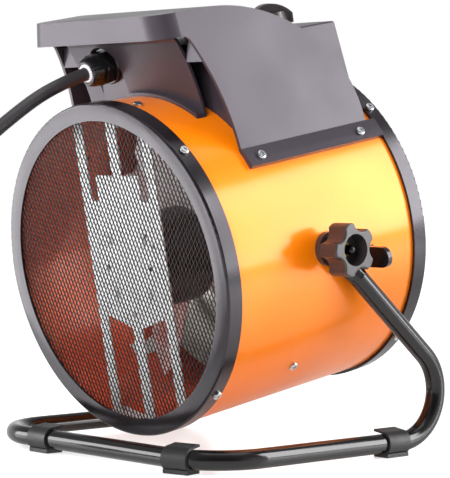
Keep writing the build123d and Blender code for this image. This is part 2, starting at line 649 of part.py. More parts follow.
def make_heating():
    start, end = SHIELD_START, DRUM_LENGTH - RING_WALL - 6
    shield = pipe_x(SHIELD_RADIUS, SHIELD_RADIUS - SHIELD_WALL, start, end)
    for at in element_places():
        for side in (-1, 1):
            shield -= rod_z(BEAD_RADIUS + SEAT, *THROUGH_SHELL, at, side * ELEMENT_LEG)
    keep("heat_shield", on_heater(shield))

    # each tab is a strip screwed to the drum that steps down to the shield
    strip_start = SHIELD_SCREW_ALONG - 8
    drum_inner = DRUM_RADIUS - DRUM_WALL - SEAT
    profile = side_face(
        Line((strip_start, drum_inner), (strip_start + 20, drum_inner)),
        Line((strip_start + 20, drum_inner), (start + 4, SHIELD_RADIUS + SEAT + 1.5)),
        Line((start + 4, SHIELD_RADIUS + SEAT + 1.5), (start + 18, SHIELD_RADIUS + SEAT + 1.5)),
        Line((start + 18, SHIELD_RADIUS + SEAT + 1.5), (start + 18, SHIELD_RADIUS + SEAT)),
        Line((start + 18, SHIELD_RADIUS + SEAT), (start + 3, SHIELD_RADIUS + SEAT)),
        Line((start + 3, SHIELD_RADIUS + SEAT), (strip_start + 19, drum_inner - 1.5)),
        Line((strip_start + 19, drum_inner - 1.5), (strip_start, drum_inner - 1.5)),
        Line((strip_start, drum_inner - 1.5), (strip_start, drum_inner)),
    )
    tab = across(profile, SHIELD_TAB / 2) & rod_x(drum_inner, 50, 200)
    tab -= rod_x(SHIELD_RADIUS + SEAT, 50, 200)
    tab -= rod_z(SCREW_RADIUS + SEAT, *THROUGH_SHELL, SHIELD_SCREW_ALONG)
    keep("shield_tabs", *[on_heater(around(tab, angle)) for angle in SHIELD_SCREW_ANGLES])
    keep(
        "shield_screws",
        *[on_heater(s) for s in radial_screws(DRUM_RADIUS, (SHIELD_SCREW_ALONG,), SHIELD_SCREW_ANGLES, 6)],
    )

    names = ("heating_element_inner", "heating_element_middle", "heating_element_outer")
    bead_start = SHIELD_RADIUS - 4
    beads = []
    for name, radius, along in zip(names, ELEMENT_RINGS, element_places()):
        keep(name, on_heater(element(radius, along)))
        for side in (-1, 1):
            at = side * ELEMENT_LEG
            bead = rod_z(BEAD_RADIUS, bead_start, DRUM_RADIUS + 5, along, at)
            beads.append(on_heater(bead - rod_z(ELEMENT_RADIUS + SEAT, *THROUGH_SHELL, along, at)))
    keep("element_insulators", *beads)

    # radial plates with a hole for each element, between the innermost ring and the shield
    places = element_places()
    plate_start, plate_end = places[0] - 12, places[-1] + 12
    inner = ELEMENT_RINGS[0] - 10
    plate = Pos((plate_start + plate_end) / 2, 0, (inner + SHIELD_RADIUS - SHIELD_WALL - SEAT) / 2) * Box(
        plate_end - plate_start, SUPPORT_WALL, SHIELD_RADIUS - SHIELD_WALL - SEAT - inner
    )
    for radius, along in zip(ELEMENT_RINGS, places):
        tool = Pos(along, 0, 0) * Rot(0, 90, 0) * Torus(radius, ELEMENT_RADIUS + SEAT)
        plate -= tool
    plate &= rod_x(SHIELD_RADIUS - SHIELD_WALL - SEAT, 50, 230)
    supports = [on_heater(around(plate, angle)) for angle in (60, 180, 300)]
    keep("element_supports", *supports)

    cutout = rod_z(CUTOUT_RADIUS, DRUM_RADIUS - 8, DRUM_RADIUS + 4, CUTOUT_ALONG)
    cutout += rod_z(CUTOUT_RADIUS + 4, DRUM_RADIUS + 0.5, DRUM_RADIUS + 2.5, CUTOUT_ALONG)
    keep("thermal_cutout", on_heater(cutout - rod_x(DRUM_RADIUS, 0, 200) + rod_z(
        CUTOUT_RADIUS, DRUM_RADIUS - 8, DRUM_RADIUS + 1, CUTOUT_ALONG)))


def panel_half(height):
    """Half width of the cover over its side panels at a height across the drum."""
    slope = (COVER_HALF_FOOT - COVER_HALF_TOP) / (COVER_TOP - COVER_FOOT)
    return COVER_HALF_TOP + (COVER_TOP - height) * slope


def splayed(inset, low, high, start, end):
    """Prism between two planes that follow the side panels, set in by inset."""
    half_low, half_high = panel_half(low) - inset, panel_half(high) - inset
    section = Polyline((-half_low, low), (half_low, low), (half_high, high), (-half_high, high), close=True)
    face = Plane((start, 0, 0), x_dir=(0, 1, 0), z_dir=(1, 0, 0)) * make_face(section)
    return extrude(face, end - start)


def cover_outline(inset):
    """Top and back of the cover's side view, from the lip to its foot, set in by inset."""
    turn = radians(COVER_TOP_ARC_DEG)
    top_centre = (COVER_FLAT_END, COVER_TOP - COVER_TOP_ARC)
    back_centre = (
        top_centre[0] + (COVER_TOP_ARC - COVER_BACK_ARC) * sin(turn),
        top_centre[1] + (COVER_TOP_ARC - COVER_BACK_ARC) * cos(turn),
    )

    def on_arc(centre, radius, angle):
        return (centre[0] + (radius - inset) * sin(angle), centre[1] + (radius - inset) * cos(angle))

    flat_end = (COVER_FLAT_END, COVER_TOP - inset)
    meet = on_arc(top_centre, COVER_TOP_ARC, turn)
    back = on_arc(back_centre, COVER_BACK_ARC, pi / 2)
    return [
        Line((COVER_FRONT + inset, COVER_TOP - inset), flat_end),
        ThreePointArc(flat_end, on_arc(top_centre, COVER_TOP_ARC, turn / 2), meet),
        ThreePointArc(meet, on_arc(back_centre, COVER_BACK_ARC, (turn + pi / 2) / 2), back),
        Line(back, (back[0], COVER_FOOT - 30)),
    ], back[0]


COVER_LIP_FOOT = COVER_TOP - COVER_LIP_HEIGHT
THROAT_CENTRE = THROAT_FOOT - THROAT_ARC


def throat_at(height, inset=0.0):
    """X of the hand gap's curved back at a height; inset goes into the cover."""
    rise = height - THROAT_FOOT_HEIGHT
    return THROAT_CENTRE + sqrt((THROAT_ARC + inset) ** 2 - rise**2)


def make_cover():
    low = COVER_FOOT - 30
    outer_edges, back = cover_outline(0)
    corner = (throat_at(COVER_LIP_FOOT), COVER_LIP_FOOT)
    foot = (THROAT_FOOT, THROAT_FOOT_HEIGHT)
    mid_height = (COVER_LIP_FOOT + THROAT_FOOT_HEIGHT) / 2
    outline = make_face(
        outer_edges
        + [
            Line((back, low), (THROAT_FOOT, low)),
            Line((THROAT_FOOT, low), foot),
            ThreePointArc(foot, (throat_at(mid_height), mid_height), corner),
            Line(corner, (COVER_FRONT, COVER_LIP_FOOT)),
            Line((COVER_FRONT, COVER_LIP_FOOT), (COVER_FRONT, COVER_TOP)),
        ]
    )
    near_corner = outline.vertices().sort_by_distance((corner[0], corner[1], 0))[0]
    outline = fillet(near_corner, THROAT_ROUND)
    body = across(Plane.XZ * outline, 130) & splayed(0, low - 5, COVER_TOP + 5, 0, 250)
    lip_corners = body.edges().filter_by(lambda e: abs(e.center().X - COVER_FRONT) < 0.1 and e.length < 30)
    body = fillet(lip_corners.sort_by(lambda e: -abs(e.center().Y))[:2], COVER_LIP_ROUND)
    inner_edges, inner_back = cover_outline(COVER_WALL)
    hollow = make_face(
        inner_edges
        + [
            Line((inner_back, low), (COVER_FRONT + COVER_WALL, low)),
            Line((COVER_FRONT + COVER_WALL, low), (COVER_FRONT + COVER_WALL, COVER_TOP - COVER_WALL)),
        ]
    )
    core = across(Plane.XZ * hollow, 130) & splayed(COVER_WALL, low - 5, COVER_TOP + 5, 0, 250)
    inner_corners = core.edges().filter_by(
        lambda e: abs(e.center().X - COVER_FRONT - COVER_WALL) < 0.1 and abs(e.center().Y) > 40
    )
    core = fillet(inner_corners, COVER_LIP_ROUND - COVER_WALL)
    cover = body - core
    cover -= splayed(COVER_WALL, low - 5, COVER_TOP + 5, COVER_SKIN_END, 260)
    drum = rod_x(DRUM_RADIUS + SEAT, -10, DRUM_LENGTH + 10)
    cover -= drum
    cover = Compound(cover.solids().sort_by(SortBy.VOLUME)[-1:]) if len(cover.solids()) > 1 else cover
    # screwed feet: a curved strip on the drum along each panel, up to the outlet ring
    flange_end = DRUM_LENGTH - RING_BAND - SEAT
    strip = pipe_x(DRUM_RADIUS + FLANGE_THICKNESS, DRUM_RADIUS + SEAT, THROAT_FOOT, flange_end)
    far = 2 * DRUM_RADIUS
    wedge = Polyline(
        (0, 0),
        (-far * sin(radians(FLANGE_START_DEG)), far * cos(radians(FLANGE_START_DEG))),
        (-far * sin(radians(FLANGE_END_DEG)), far * cos(radians(FLANGE_END_DEG))),
        close=True,
    )
    sector = extrude(Plane.YZ * make_face(wedge), 300)
    flange = strip & sector
    cover = cover + flange + mirror(flange, Plane.XZ)
    for tool in radial_holes(COVER_SCREW_ALONG, (-COVER_SCREW_DEG, COVER_SCREW_DEG)):
        cover -= tool
    keep("handle_cover", on_heater(cover))
    seat_radius = DRUM_RADIUS + FLANGE_THICKNESS
    screws = radial_screws(seat_radius, COVER_SCREW_ALONG, (-COVER_SCREW_DEG, COVER_SCREW_DEG), 11)
    keep("cover_screws", *[on_heater(one) for one in screws])


COVER_SCREW_ALONG = (THROAT_FOOT + 14, DRUM_LENGTH - RING_BAND - 24)
COVER_SCREW_DEG = (FLANGE_START_DEG + FLANGE_END_DEG) / 2 + 0.4


def gland_frame():
    """Places a shape drawn along +Z so that +Z points out of the gland."""
    return Pos(GLAND_ALONG, GLAND_SIDE, GLAND_HEIGHT) * Rot(0, -90 - GLAND_DROOP_DEG, 0)


def behind_throat(inset):
    """Block behind the curved wall's front, or behind a surface that far into it."""
    low, high = THROAT_FOOT_HEIGHT - 32, COVER_LIP_FOOT
    middle = (low + high) / 2
    face = make_face(
        [
            ThreePointArc(
                (throat_at(low, inset), low),
                (throat_at(middle, inset), middle),
                (throat_at(high, inset), high),
            ),
            Line((throat_at(high, inset), high), (THROAT_FOOT + 40, high)),
            Line((THROAT_FOOT + 40, high), (THROAT_FOOT + 40, low)),
            Line((THROAT_FOOT + 40, low), (throat_at(low, inset), low)),
        ]
    )
    return across(Plane.XZ * face, SCOOP_HALF)


def make_scoop():
    """Curved wall behind the hand gap, with the pad that carries the cable gland."""
    top = COVER_LIP_FOOT
    corner = (throat_at(top), top)
    inner_corner = (throat_at(top + SCOOP_WALL, SCOOP_WALL), top + SCOOP_WALL)
    foot_height = THROAT_FOOT_HEIGHT + 8
    mid_height = (top + foot_height) / 2
    start = COVER_FRONT + COVER_WALL + SEAT
    outline = make_face(
        [
            Line((start, top), corner),
            ThreePointArc(corner, (throat_at(mid_height), mid_height), (throat_at(foot_height), foot_height)),
            Line((throat_at(foot_height), foot_height), (throat_at(foot_height, SCOOP_WALL), foot_height)),
            ThreePointArc(
                (throat_at(foot_height, SCOOP_WALL), foot_height),
                (throat_at(mid_height, SCOOP_WALL), mid_height),
                inner_corner,
            ),
            Line(inner_corner, (start, top + SCOOP_WALL)),
            Line((start, top + SCOOP_WALL), (start, top)),
        ]
    )
    points = outline.vertices()
    outline = fillet(points.sort_by_distance((corner[0], corner[1], 0))[0], THROAT_ROUND)
    points = outline.vertices()
    inner_point = points.sort_by_distance((inner_corner[0], inner_corner[1], 0))[0]
    outline = fillet(inner_point, THROAT_ROUND + SCOOP_WALL)
    scoop = across(Plane.XZ * outline, SCOOP_HALF)
    # lip along the foot, on the drum
    lip_start = throat_at(DRUM_RADIUS)
    lip_front, lip_back = lip_start - SCOOP_LIP_FRONT, lip_start + SCOOP_LIP
    lip = pipe_x(DRUM_RADIUS + SCOOP_LIP_RISE, DRUM_RADIUS + SEAT, lip_front, lip_back)
    lip &= Pos(lip_start, 0, DRUM_RADIUS) * Box(60, 2 * SCOOP_HALF, 80)
    scoop += lip
    # pad: a flat with a round top, square to the gland, flush at its foot and sunk at its top
    frame = gland_frame()
    flat = Circle(PAD_HALF) + Rectangle(PAD_DROP, 2 * PAD_HALF, align=(Align.MAX, Align.CENTER))
    tub = Circle(PAD_HALF + PAD_WALL) + Rectangle(
        PAD_DROP, 2 * (PAD_HALF + PAD_WALL), align=(Align.MAX, Align.CENTER)
    )
    behind_front = behind_throat(0)
    behind_wall = behind_throat(SCOOP_WALL)
    scoop += frame * (extrude(tub, PAD_DROP) + extrude(tub, -PAD_WALL)) & behind_front
    scoop += frame * extrude(flat, -PAD_DEPTH) - behind_wall
    scoop -= frame * extrude(flat, PAD_DROP)
    scoop -= rod_x(DRUM_RADIUS + SEAT, -10, 200)
    scoop -= frame * extrude(Circle(GLAND_THREAD_RADIUS + SEAT), PAD_DROP, both=True)
    scoop -= frame * Pos(0, 0, -PAD_WALL) * extrude(Circle(GLAND_LOCKNUT_HEX * 0.6), -PAD_DEPTH)
    # gussets that close the top of the side gaps, out to the panels
    gusset_foot, gusset_top = COVER_LIP_FOOT - GUSSET_DROP, COVER_LIP_FOOT - GUSSET_START
    for side in (-1, 1):
        inner_low, inner_high = SCOOP_HALF - 1, SCOOP_HALF + 5
        plane_x = throat_at(gusset_foot) + GUSSET_THICKNESS
        web = make_face(
            Polyline(
                (side * inner_low, gusset_foot),
                (side * (panel_half(gusset_foot) - COVER_WALL - SEAT), gusset_foot),
                (side * (panel_half(gusset_top) - COVER_WALL - SEAT), gusset_top),
                (side * inner_high, gusset_top),
                close=True,
            )
        )
        face = Plane((plane_x, 0, 0), x_dir=(0, 1, 0), z_dir=(1, 0, 0))
        scoop += extrude(face * web, -GUSSET_THICKNESS)
    keep("scoop_wall", on_heater(scoop))


def make_gland():
    frame = gland_frame()
    base = extrude(Circle(GLAND_BASE_RADIUS), GLAND_BASE - 1)
    base = chamfer(base.faces().sort_by(Axis.Z)[-1].edges(), 1.0)
    hexagon = RegularPolygon(GLAND_HEX / 2, 6, major_radius=False)
    body = base + Pos(0, 0, GLAND_BASE - 1) * extrude(hexagon, GLAND_BODY_HEX)
    body += extrude(Circle(GLAND_THREAD_RADIUS), -GLAND_THREAD)
    bore = extrude(Circle(CORD_RADIUS - CORD_GRIP), 60, both=True)
    keep("gland_body", on_heater(frame * (body - bore)))
    nut_start = GLAND_BASE - 1 + GLAND_BODY_HEX
    nut = Pos(0, 0, nut_start) * extrude(hexagon, GLAND_NUT * 0.6)
    nut &= extrude(Circle(GLAND_HEX / 2 * 1.09), 60)
    dome = Pos(0, 0, nut_start + GLAND_NUT * 0.6) * extrude(Circle(GLAND_HEX / 2 - 0.4), GLAND_NUT * 0.4)
    dome = fillet(dome.faces().sort_by(Axis.Z)[-1].edges(), GLAND_NUT * 0.36)
    keep("gland_nut", on_heater(frame * (nut + dome - bore)))
    lock = extrude(RegularPolygon(GLAND_LOCKNUT_HEX / 2, 6, major_radius=False), -GLAND_LOCKNUT)
    lock -= extrude(Circle(GLAND_THREAD_RADIUS + SEAT), 20, both=True)
    keep("gland_locknut", on_heater(frame * Pos(0, 0, -PAD_WALL - SEAT) * lock))


GLAND_LENGTH = GLAND_BASE - 1 + GLAND_BODY_HEX + GLAND_NUT


def make_controls():
    """Control box between the side panels, with the two selectors on its top."""
    drum = rod_x(DRUM_RADIUS + SEAT, -10, DRUM_LENGTH + 10)
    low = COVER_FOOT - 29
    outer = splayed(BOX_INSET, low, BOX_TOP, BOX_FRONT, BOX_BACK)
    rims = outer.faces().sort_by(Axis.Z)[-1].edges()
    outer = fillet(rims, BOX_ROUND)
    ceiling = BOX_TOP - BOX_WALL
    inner = splayed(BOX_INSET + BOX_WALL, low - 5, ceiling, BOX_FRONT + BOX_WALL, BOX_BACK - BOX_WALL)
    trunk = Box(600, 600, DRUM_RADIUS * 0.1, align=(Align.CENTER, Align.CENTER, Align.MAX))
    trunk = Pos(0, 0, DRUM_RADIUS * 0.5) * trunk
    box = outer - inner - drum - trunk
    places = [(SELECTOR_ALONG, -SELECTOR_SIDE), (SELECTOR_ALONG, SELECTOR_SIDE)]
    bush = SELECTOR_SHAFT_RADIUS + 2
    for x, y in places:
        box -= rod_z(bush + SEAT, BOX_TOP - 10, BOX_TOP + 10, x, y)
    keep("control_box", on_heater(box))

    names = (("mode", places[0]), ("thermostat", places[1]))
    for name, (x, y) in names:
        unit = Pos(x, y, ceiling - SWITCH_DEPTH / 2) * Box(SWITCH_SIDE, SWITCH_SIDE, SWITCH_DEPTH)
        unit += rod_z(bush, ceiling - 1, BOX_TOP + 3, x, y)
        well = rod_z(SELECTOR_SHAFT_RADIUS + PIVOT_RUNNING, ceiling - 12, BOX_TOP + 30, x, y)
        keep(f"{name}_switch", on_heater(unit - well))
        shaft = rod_z(SELECTOR_SHAFT_RADIUS, ceiling - 12 + GAP, BOX_TOP + SELECTOR_SHAFT, x, y)
        flat = Pos(x, y + SELECTOR_SHAFT_RADIUS * 1.5, BOX_TOP + 5 + SELECTOR_SHAFT / 2) * Box(
            12, 2 * SELECTOR_SHAFT_RADIUS, SELECTOR_SHAFT
        )
        shaft -= flat
        keep(f"{name}_shaft", on_heater(shaft))
        knob = selector() - Pos(0, 0, -BOX_TOP) * Pos(-x, -y, 0) * rod_z(
            SELECTOR_SHAFT_RADIUS + SEAT, BOX_TOP, BOX_TOP + SELECTOR_SHAFT + SEAT, x, y
        )
        keep(f"{name}_knob", on_heater(Pos(x, y, BOX_TOP) * knob))

    under_shell = DRUM_RADIUS - DRUM_WALL - SEAT - BULB_RADIUS
    bulb = rod_x(BULB_RADIUS, BULB_ALONG, BULB_ALONG + BULB_LENGTH, 0, under_shell)
    keep("thermostat_bulb", on_heater(around(bulb, BULB_DEG)))
    block = Pos(84, 0, DRUM_RADIUS + 8) * Box(16, 62, 16)
    for n in range(5):
        block -= rod_z(2.2, DRUM_RADIUS + 8, DRUM_RADIUS + 30, 84, (n - 2) * 12)
    keep("terminal_block", on_heater(block - drum))


def selector():
    """Pointer knob: a low skirt, and a grip bar that slopes down to the pointer's end."""
    skirt = Pos(0, 0, 1.2 * GAP) * extrude(Circle(SELECTOR_RADIUS), SELECTOR_SKIRT)
    cone = Pos(0, 0, SELECTOR_SKIRT) * extrude(Circle(SELECTOR_RADIUS - 2), SELECTOR_HEIGHT * 0.45, taper=14)
    skirt = fillet(skirt.faces().sort_by(Axis.Z)[-1].edges(), 1.2)
    reach = SELECTOR_RADIUS
    side = make_face(
        [
            Line((-reach + 1.5, SELECTOR_SKIRT - 1), (reach + 1.5, SELECTOR_SKIRT - 1)),
            Line((reach + 1.5, SELECTOR_SKIRT - 1), (reach + 1.5, SELECTOR_HEIGHT * 0.52)),
            ThreePointArc(
                (reach + 1.5, SELECTOR_HEIGHT * 0.52),
                (reach * 0.6, SELECTOR_HEIGHT * 0.86),
                (0, SELECTOR_HEIGHT),
            ),
            ThreePointArc(
                (0, SELECTOR_HEIGHT),
                (-reach * 0.65, SELECTOR_HEIGHT * 0.8),
                (-reach + 1.5, SELECTOR_SKIRT + 4),
            ),
            Line((-reach + 1.5, SELECTOR_SKIRT + 4), (-reach + 1.5, SELECTOR_SKIRT - 1)),
        ]
    )
    grip = across(Plane.XZ * side, SELECTOR_GRIP / 2)
    hollow_side = across(Plane.XZ * offset(side, -SELECTOR_RIM), SELECTOR_GRIP)
    grip -= hollow_side - across(Plane.XZ * side, SELECTOR_GRIP / 2 - SELECTOR_RIM / 2)
    knob = skirt + cone + grip
    hollow = extrude(Circle(SELECTOR_SHAFT_RADIUS + 2.6), 3.4)
    return Rot(0, 0, -25) * (knob - hollow)


# ---------------------------------------------------------------- pivot clamps and tilt stops
CLAMP_FACE = STAND_HALF_WIDTH + TAB_THICKNESS / 2  # outer side of the flattened tube end


def lobed(radius, lobes, depth):
    """Star grip outline of round lobes with hollows between, as arcs through its tips and valleys."""
    tip, valley = radius, radius * 0.72
    step = 2 * pi / lobes
    edges = []

    def at(r, angle):
        return (r * cos(angle), r * sin(angle))

    for n in range(lobes):
        a = n * step
        shoulder = step * 0.21
        edges.append(ThreePointArc(at(tip * 0.965, a - shoulder), at(tip, a), at(tip * 0.965, a + shoulder)))
        edges.append(
            ThreePointArc(
                at(tip * 0.965, a + shoulder), at(valley, a + step / 2), at(tip * 0.965, a + step - shoulder)
            )
        )
    face = make_face(edges)
    face = fillet(face.vertices(), 2.0)
    return extrude(face, depth)


def make_clamps():
    bolt_tip = CLAMP_FACE + KNOB_HUB + KNOB_DEPTH - 6
    base = DRUM_RADIUS - DRUM_WALL - SEAT
    drum = rod_x(DRUM_RADIUS + SEAT, 0, DRUM_LENGTH)
    reach = CLAMP_FACE + KNOB_HUB + KNOB_DEPTH
    bore_tool = rod_y(BOLT_RADIUS + SEAT, -reach, reach, PIVOT_ALONG)
    spacers, bolts, stops = [], [], []

    def outward(side, radius, start, end):
        """Rod along the pivot axis, between two distances from the mid-plane."""
        low, high = sorted((side * start, side * end))
        return rod_y(radius, low, high, PIVOT_ALONG)

    for name, side in (("near", -1), ("far", 1)):
        inner_face = STAND_HALF_WIDTH - TAB_THICKNESS / 2 - SEAT
        spacer = outward(side, SPACER_RADIUS, DRUM_RADIUS - 6, inner_face) - drum - bore_tool
        spacers.append(on_heater(spacer))
        bolt = outward(side, BOLT_RADIUS, base - 7, bolt_tip)
        head = outward(side, BOLT_HEAD_RADIUS, base - BOLT_HEAD - 1.2, base - 1.2)
        washer_inside = outward(side, BOLT_HEAD_RADIUS + 3, base - 1.2, base)
        bolt = bolt + head + (washer_inside & rod_x(base, 0, DRUM_LENGTH))
        tip = Pos(PIVOT_ALONG, side * bolt_tip, 0) * Sphere(BOLT_RADIUS)
        bolts.append(on_heater(bolt + tip))

        knob = lobed(KNOB_RADIUS, KNOB_LOBES, KNOB_DEPTH)
        rim = knob.faces().sort_by(Axis.Z)[-1].edges()
        knob = fillet(rim, KNOB_EDGE)
        knob = Pos(0, 0, KNOB_HUB) * knob + extrude(Circle(KNOB_HUB_RADIUS), KNOB_HUB)
        top = KNOB_HUB + KNOB_DEPTH
        knob -= Pos(0, 0, top - KNOB_BORE_DEPTH) * extrude(Circle(KNOB_BORE_RADIUS), KNOB_BORE_DEPTH + 1)
        knob -= extrude(Circle(INSERT_RADIUS + SEAT), 60)
        insert = extrude(Circle(INSERT_RADIUS), top - KNOB_BORE_DEPTH)
        insert -= extrude(Circle(BOLT_RADIUS + PIVOT_RUNNING), 60)
        place = Pos(PIVOT_ALONG, side * (CLAMP_FACE + GAP), 0)
        place = place * Rot(-90 * side, 0, 0) * Rot(0, 0, KNOB_TURN_DEG)
        keep(f"clamp_knob_{name}", on_heater(place * knob))
        keep(f"knob_insert_{name}", on_heater(place * insert))

        # the stop's lower corner meets the tube when the tilt reaches its lower end
        reach = hypot(STAND_BACK, PIVOT_HEIGHT - STAND_LEVEL)
        down, along = (PIVOT_HEIGHT - STAND_LEVEL) / reach, STAND_BACK / reach
        turn = radians(TILT_DEG - TILT_TRAVEL_DEG)
        normal = (down * cos(turn) + along * sin(turn), along * cos(turn) - down * sin(turn))
        corner_x = STOP_ALONG - STOP_THICKNESS / 2
        corner_z = (TUBE_RADIUS + GAP + 0.1 - normal[0] * corner_x) / normal[1]
        middle = corner_z + STOP_HEIGHT / 2
        flat = Rectangle(STOP_REACH + 10 - STOP_HEIGHT / 2, STOP_HEIGHT, align=(Align.MIN, Align.CENTER))
        tab = flat + Pos(STOP_REACH + 10 - STOP_HEIGHT / 2, 0) * Circle(STOP_HEIGHT / 2)
        frame = Plane(
            (PIVOT_ALONG + STOP_ALONG, side * (DRUM_RADIUS - 10), middle), x_dir=(0, side, 0), z_dir=(1, 0, 0)
        )
        stop = extrude(frame * tab, STOP_THICKNESS / 2, both=True)
        plate_middle = PIVOT_ALONG + STOP_ALONG
        plate = pipe_x(DRUM_RADIUS + STOP_PLATE, DRUM_RADIUS, plate_middle - 8, plate_middle + 8)
        plate &= Pos(PIVOT_ALONG + STOP_ALONG, side * DRUM_RADIUS, middle) * Box(
            DRUM_LENGTH, DRUM_RADIUS, STOP_HEIGHT
        )
        stops.append(on_heater(stop + plate - drum))
    keep("pivot_spacers", *spacers)
    keep("pivot_bolts", *bolts)
    keep("tilt_stops", *stops)


# ---------------------------------------------------------------- supply cord, its coil and plug
COIL_PITCH = 2 * CORD_RADIUS + COIL_GAP
COIL_CENTRE = (-357.0, 105.0)
COIL_LEVEL = CORD_RADIUS + TIE_WALL + TIE_CLEAR
COIL_TURNS = 2 * COIL_LAYER_TURNS + 0.5


def gland_exit():
    """Where the cord leaves the gland's nut, and the way it points there."""
    start = on_heater(gland_frame() * Pos(0, 0, GLAND_LENGTH))
    return start.position, Vector(Plane(start).z_dir)


def coil_point(turns):
    """Centreline of the coil after so many turns, clockwise from above, from its side nearest -Y."""
    inner = COIL_OUTER - COIL_PITCH * COIL_LAYER_TURNS
    if turns <= COIL_LAYER_TURNS:
        radius, climbed = COIL_OUTER - COIL_PITCH * turns, 0.0
    elif turns <= COIL_LAYER_TURNS + 0.5:
        climbed = (turns - COIL_LAYER_TURNS) / 0.5
        radius = inner - COIL_TUCK * sin(pi * climbed)
    else:
        radius, climbed = inner + COIL_PITCH * (turns - COIL_LAYER_TURNS - 0.5), 1.0
    level = COIL_LEVEL + COIL_PITCH * (1 - cos(pi * climbed)) / 2
    last = COIL_TURNS - 0.5
    if turns > last:
        to_plug = PLUG_RADIUS - (COIL_LEVEL + COIL_PITCH)
        level += to_plug * (1 - cos(pi * (turns - last) / 0.5)) / 2
    angle = -pi / 2 - 2 * pi * turns
    return Vector(COIL_CENTRE[0] + radius * cos(angle), COIL_CENTRE[1] + radius * sin(angle), level)


def biarc(start, start_way, end, end_way):
    """Two arcs that join smoothly between two points with given directions."""
    chord = end - start
    both = start_way + end_way
    spare = 2 * (1 - start_way.dot(end_way))
    reach = (-chord.dot(both) + sqrt(chord.dot(both) ** 2 + spare * chord.dot(chord))) / spare
    joint = (start + end + (start_way - end_way) * reach) / 2
    joint_way = ((end - end_way * reach) - (start + start_way * reach)).normalized()
    return [
        Edge.make_tangent_arc(start, start_way, joint),
        Edge.make_tangent_arc(joint, joint_way, end),
    ]


def cord_route():
    """Route of the free cord, from the gland out, down and on to the coil on the floor."""
    exit_point, way = gland_exit()
    coil_start = coil_point(0) + Vector(2 * CORD_RADIUS, 0, 0)
    first = exit_point + way * 36
    run = 36.5  # the turn on to the floor is three small ones
    third, sixth = run * cos(pi / 3), run * cos(pi / 6)
    floor = coil_start.Z
    down = coil_start.X + run + third + sixth
    return [
        tuple(exit_point),
        tuple(first),
        (-188.0, 33.0, 277.0),
        (-222.0, 35.0, 251.0),
        (-247.0, 37.0, 213.0),
        (down + 1, 39.0, 163.0),
        (down + 3, 38.0, 110.0),
        (down, 35.0, floor + third + sixth),
        (down - third, 33.0, floor + third),
        (down - third - sixth, coil_start.Y, floor),
        tuple(coil_start),
    ]


def route_radii(points):
    """Bend radius at each inner point, as large as the shorter of its two runs allows."""
    radii = []
    for a, b, c in zip(points, points[1:], points[2:]):
        before, after = Vector(*b) - Vector(*a), Vector(*c) - Vector(*b)
        turn = radians(before.get_angle(after))
        radii.append(0.45 * min(before.length, after.length) / tan(turn / 2))
    return radii


def make_cord():
    points = cord_route()
    radii = route_radii(points)
    print("cord radii", [round(r) for r in radii])
    path = FilletPolyline(*points, radius=radii)
    section = Circle(CORD_RADIUS)
    cord = sweep(Plane(origin=path @ 0, z_dir=path % 0) * section, path=path)
    free = path.length
    share = cord.volume / (pi * CORD_RADIUS**2 * free)
    print("free cord", round(free), "mm, volume over section times length", round(share, 4))
    keep("power_cord", cord)

    # coil: straight end, quarter turns as biarcs, straight end into the plug
    quarters = int(round(COIL_TURNS * 4))
    stops = [coil_point(n / 4) for n in range(quarters + 1)]
    ways = []
    for n in range(quarters + 1):
        t = n / 4
        step = 0.001
        low, high = max(t - step, 0), min(t + step, COIL_TURNS)
        ways.append((coil_point(high) - coil_point(low)).normalized())
    ways[0], ways[-1] = Vector(-1, 0, 0), Vector(1, 0, 0)
    lead = 2 * CORD_RADIUS
    edges = [Edge.make_line(stops[0] - ways[0] * lead, stops[0])]
    for n in range(quarters):
        edges.extend(biarc(stops[n], ways[n], stops[n + 1], ways[n + 1]))
    coil_end = stops[-1] + ways[-1] * lead
    edges.append(Edge.make_line(stops[-1], coil_end))
    wire = Wire(edges)
    coil = sweep(Plane(origin=wire @ 0, z_dir=wire % 0) * section, path=wire)
    keep("cord_coil", coil)
    samples = [wire @ (i / 600) for i in range(601)]
    apart = wire.length / 600
    nearest = min(
        (samples[i] - samples[j]).length
        for i in range(601)
        for j in range(i + int(3 * 2 * CORD_RADIUS / apart), 601)
    )
    print("coil", round(wire.length), "mm, least gap to itself", round(nearest - 2 * CORD_RADIUS, 2))
    print("coil volume ratio", round(coil.volume / (pi * CORD_RADIUS**2 * wire.length), 4))
    print("whole cord", round(free + wire.length), "mm")

    # tie round the two stacked turns on the side towards the heater
    low, high = coil_point(0.75), coil_point(1.75)
    height = high.Z - low.Z
    loop = SlotCenterToCenter(height, 2 * (CORD_RADIUS + TIE_CLEAR + TIE_WALL))
    loop -= SlotCenterToCenter(height, 2 * (CORD_RADIUS + TIE_CLEAR))
    band = Plane(tuple((low + high) / 2), x_dir=(0, 0, 1), z_dir=(0, 1, 0)) * loop
    keep("cord_tie", extrude(band, TIE_WIDTH / 2, both=True))

    # plug: strain relief, round body with a flat face, two pins
    start = Plane(origin=coil_end, x_dir=(0, 0, 1), z_dir=(1, 0, 0))
    relief = loft(
        [start * Circle(CORD_RADIUS + 0.8), start.offset(PLUG_RELIEF) * Circle(PLUG_RADIUS * 0.55)]
    )
    body = start.offset(PLUG_RELIEF) * extrude(Circle(PLUG_RADIUS), PLUG_LENGTH)
    back_edge = body.faces().sort_by(Axis.X)[0].edges()
    body = fillet(back_edge, PLUG_RADIUS * 0.4)
    face_at = PLUG_RELIEF + PLUG_LENGTH
    pins = [
        start.offset(face_at) * Pos(0, side * PIN_SPACING / 2, 0) * extrude(Circle(PIN_RADIUS), PIN_LENGTH)
        for side in (-1, 1)
    ]
    keep("plug_body", relief + body)
    keep("plug_pins", *[fillet(pin.faces().sort_by(Axis.X)[-1].edges(), 1.2) for pin in pins])


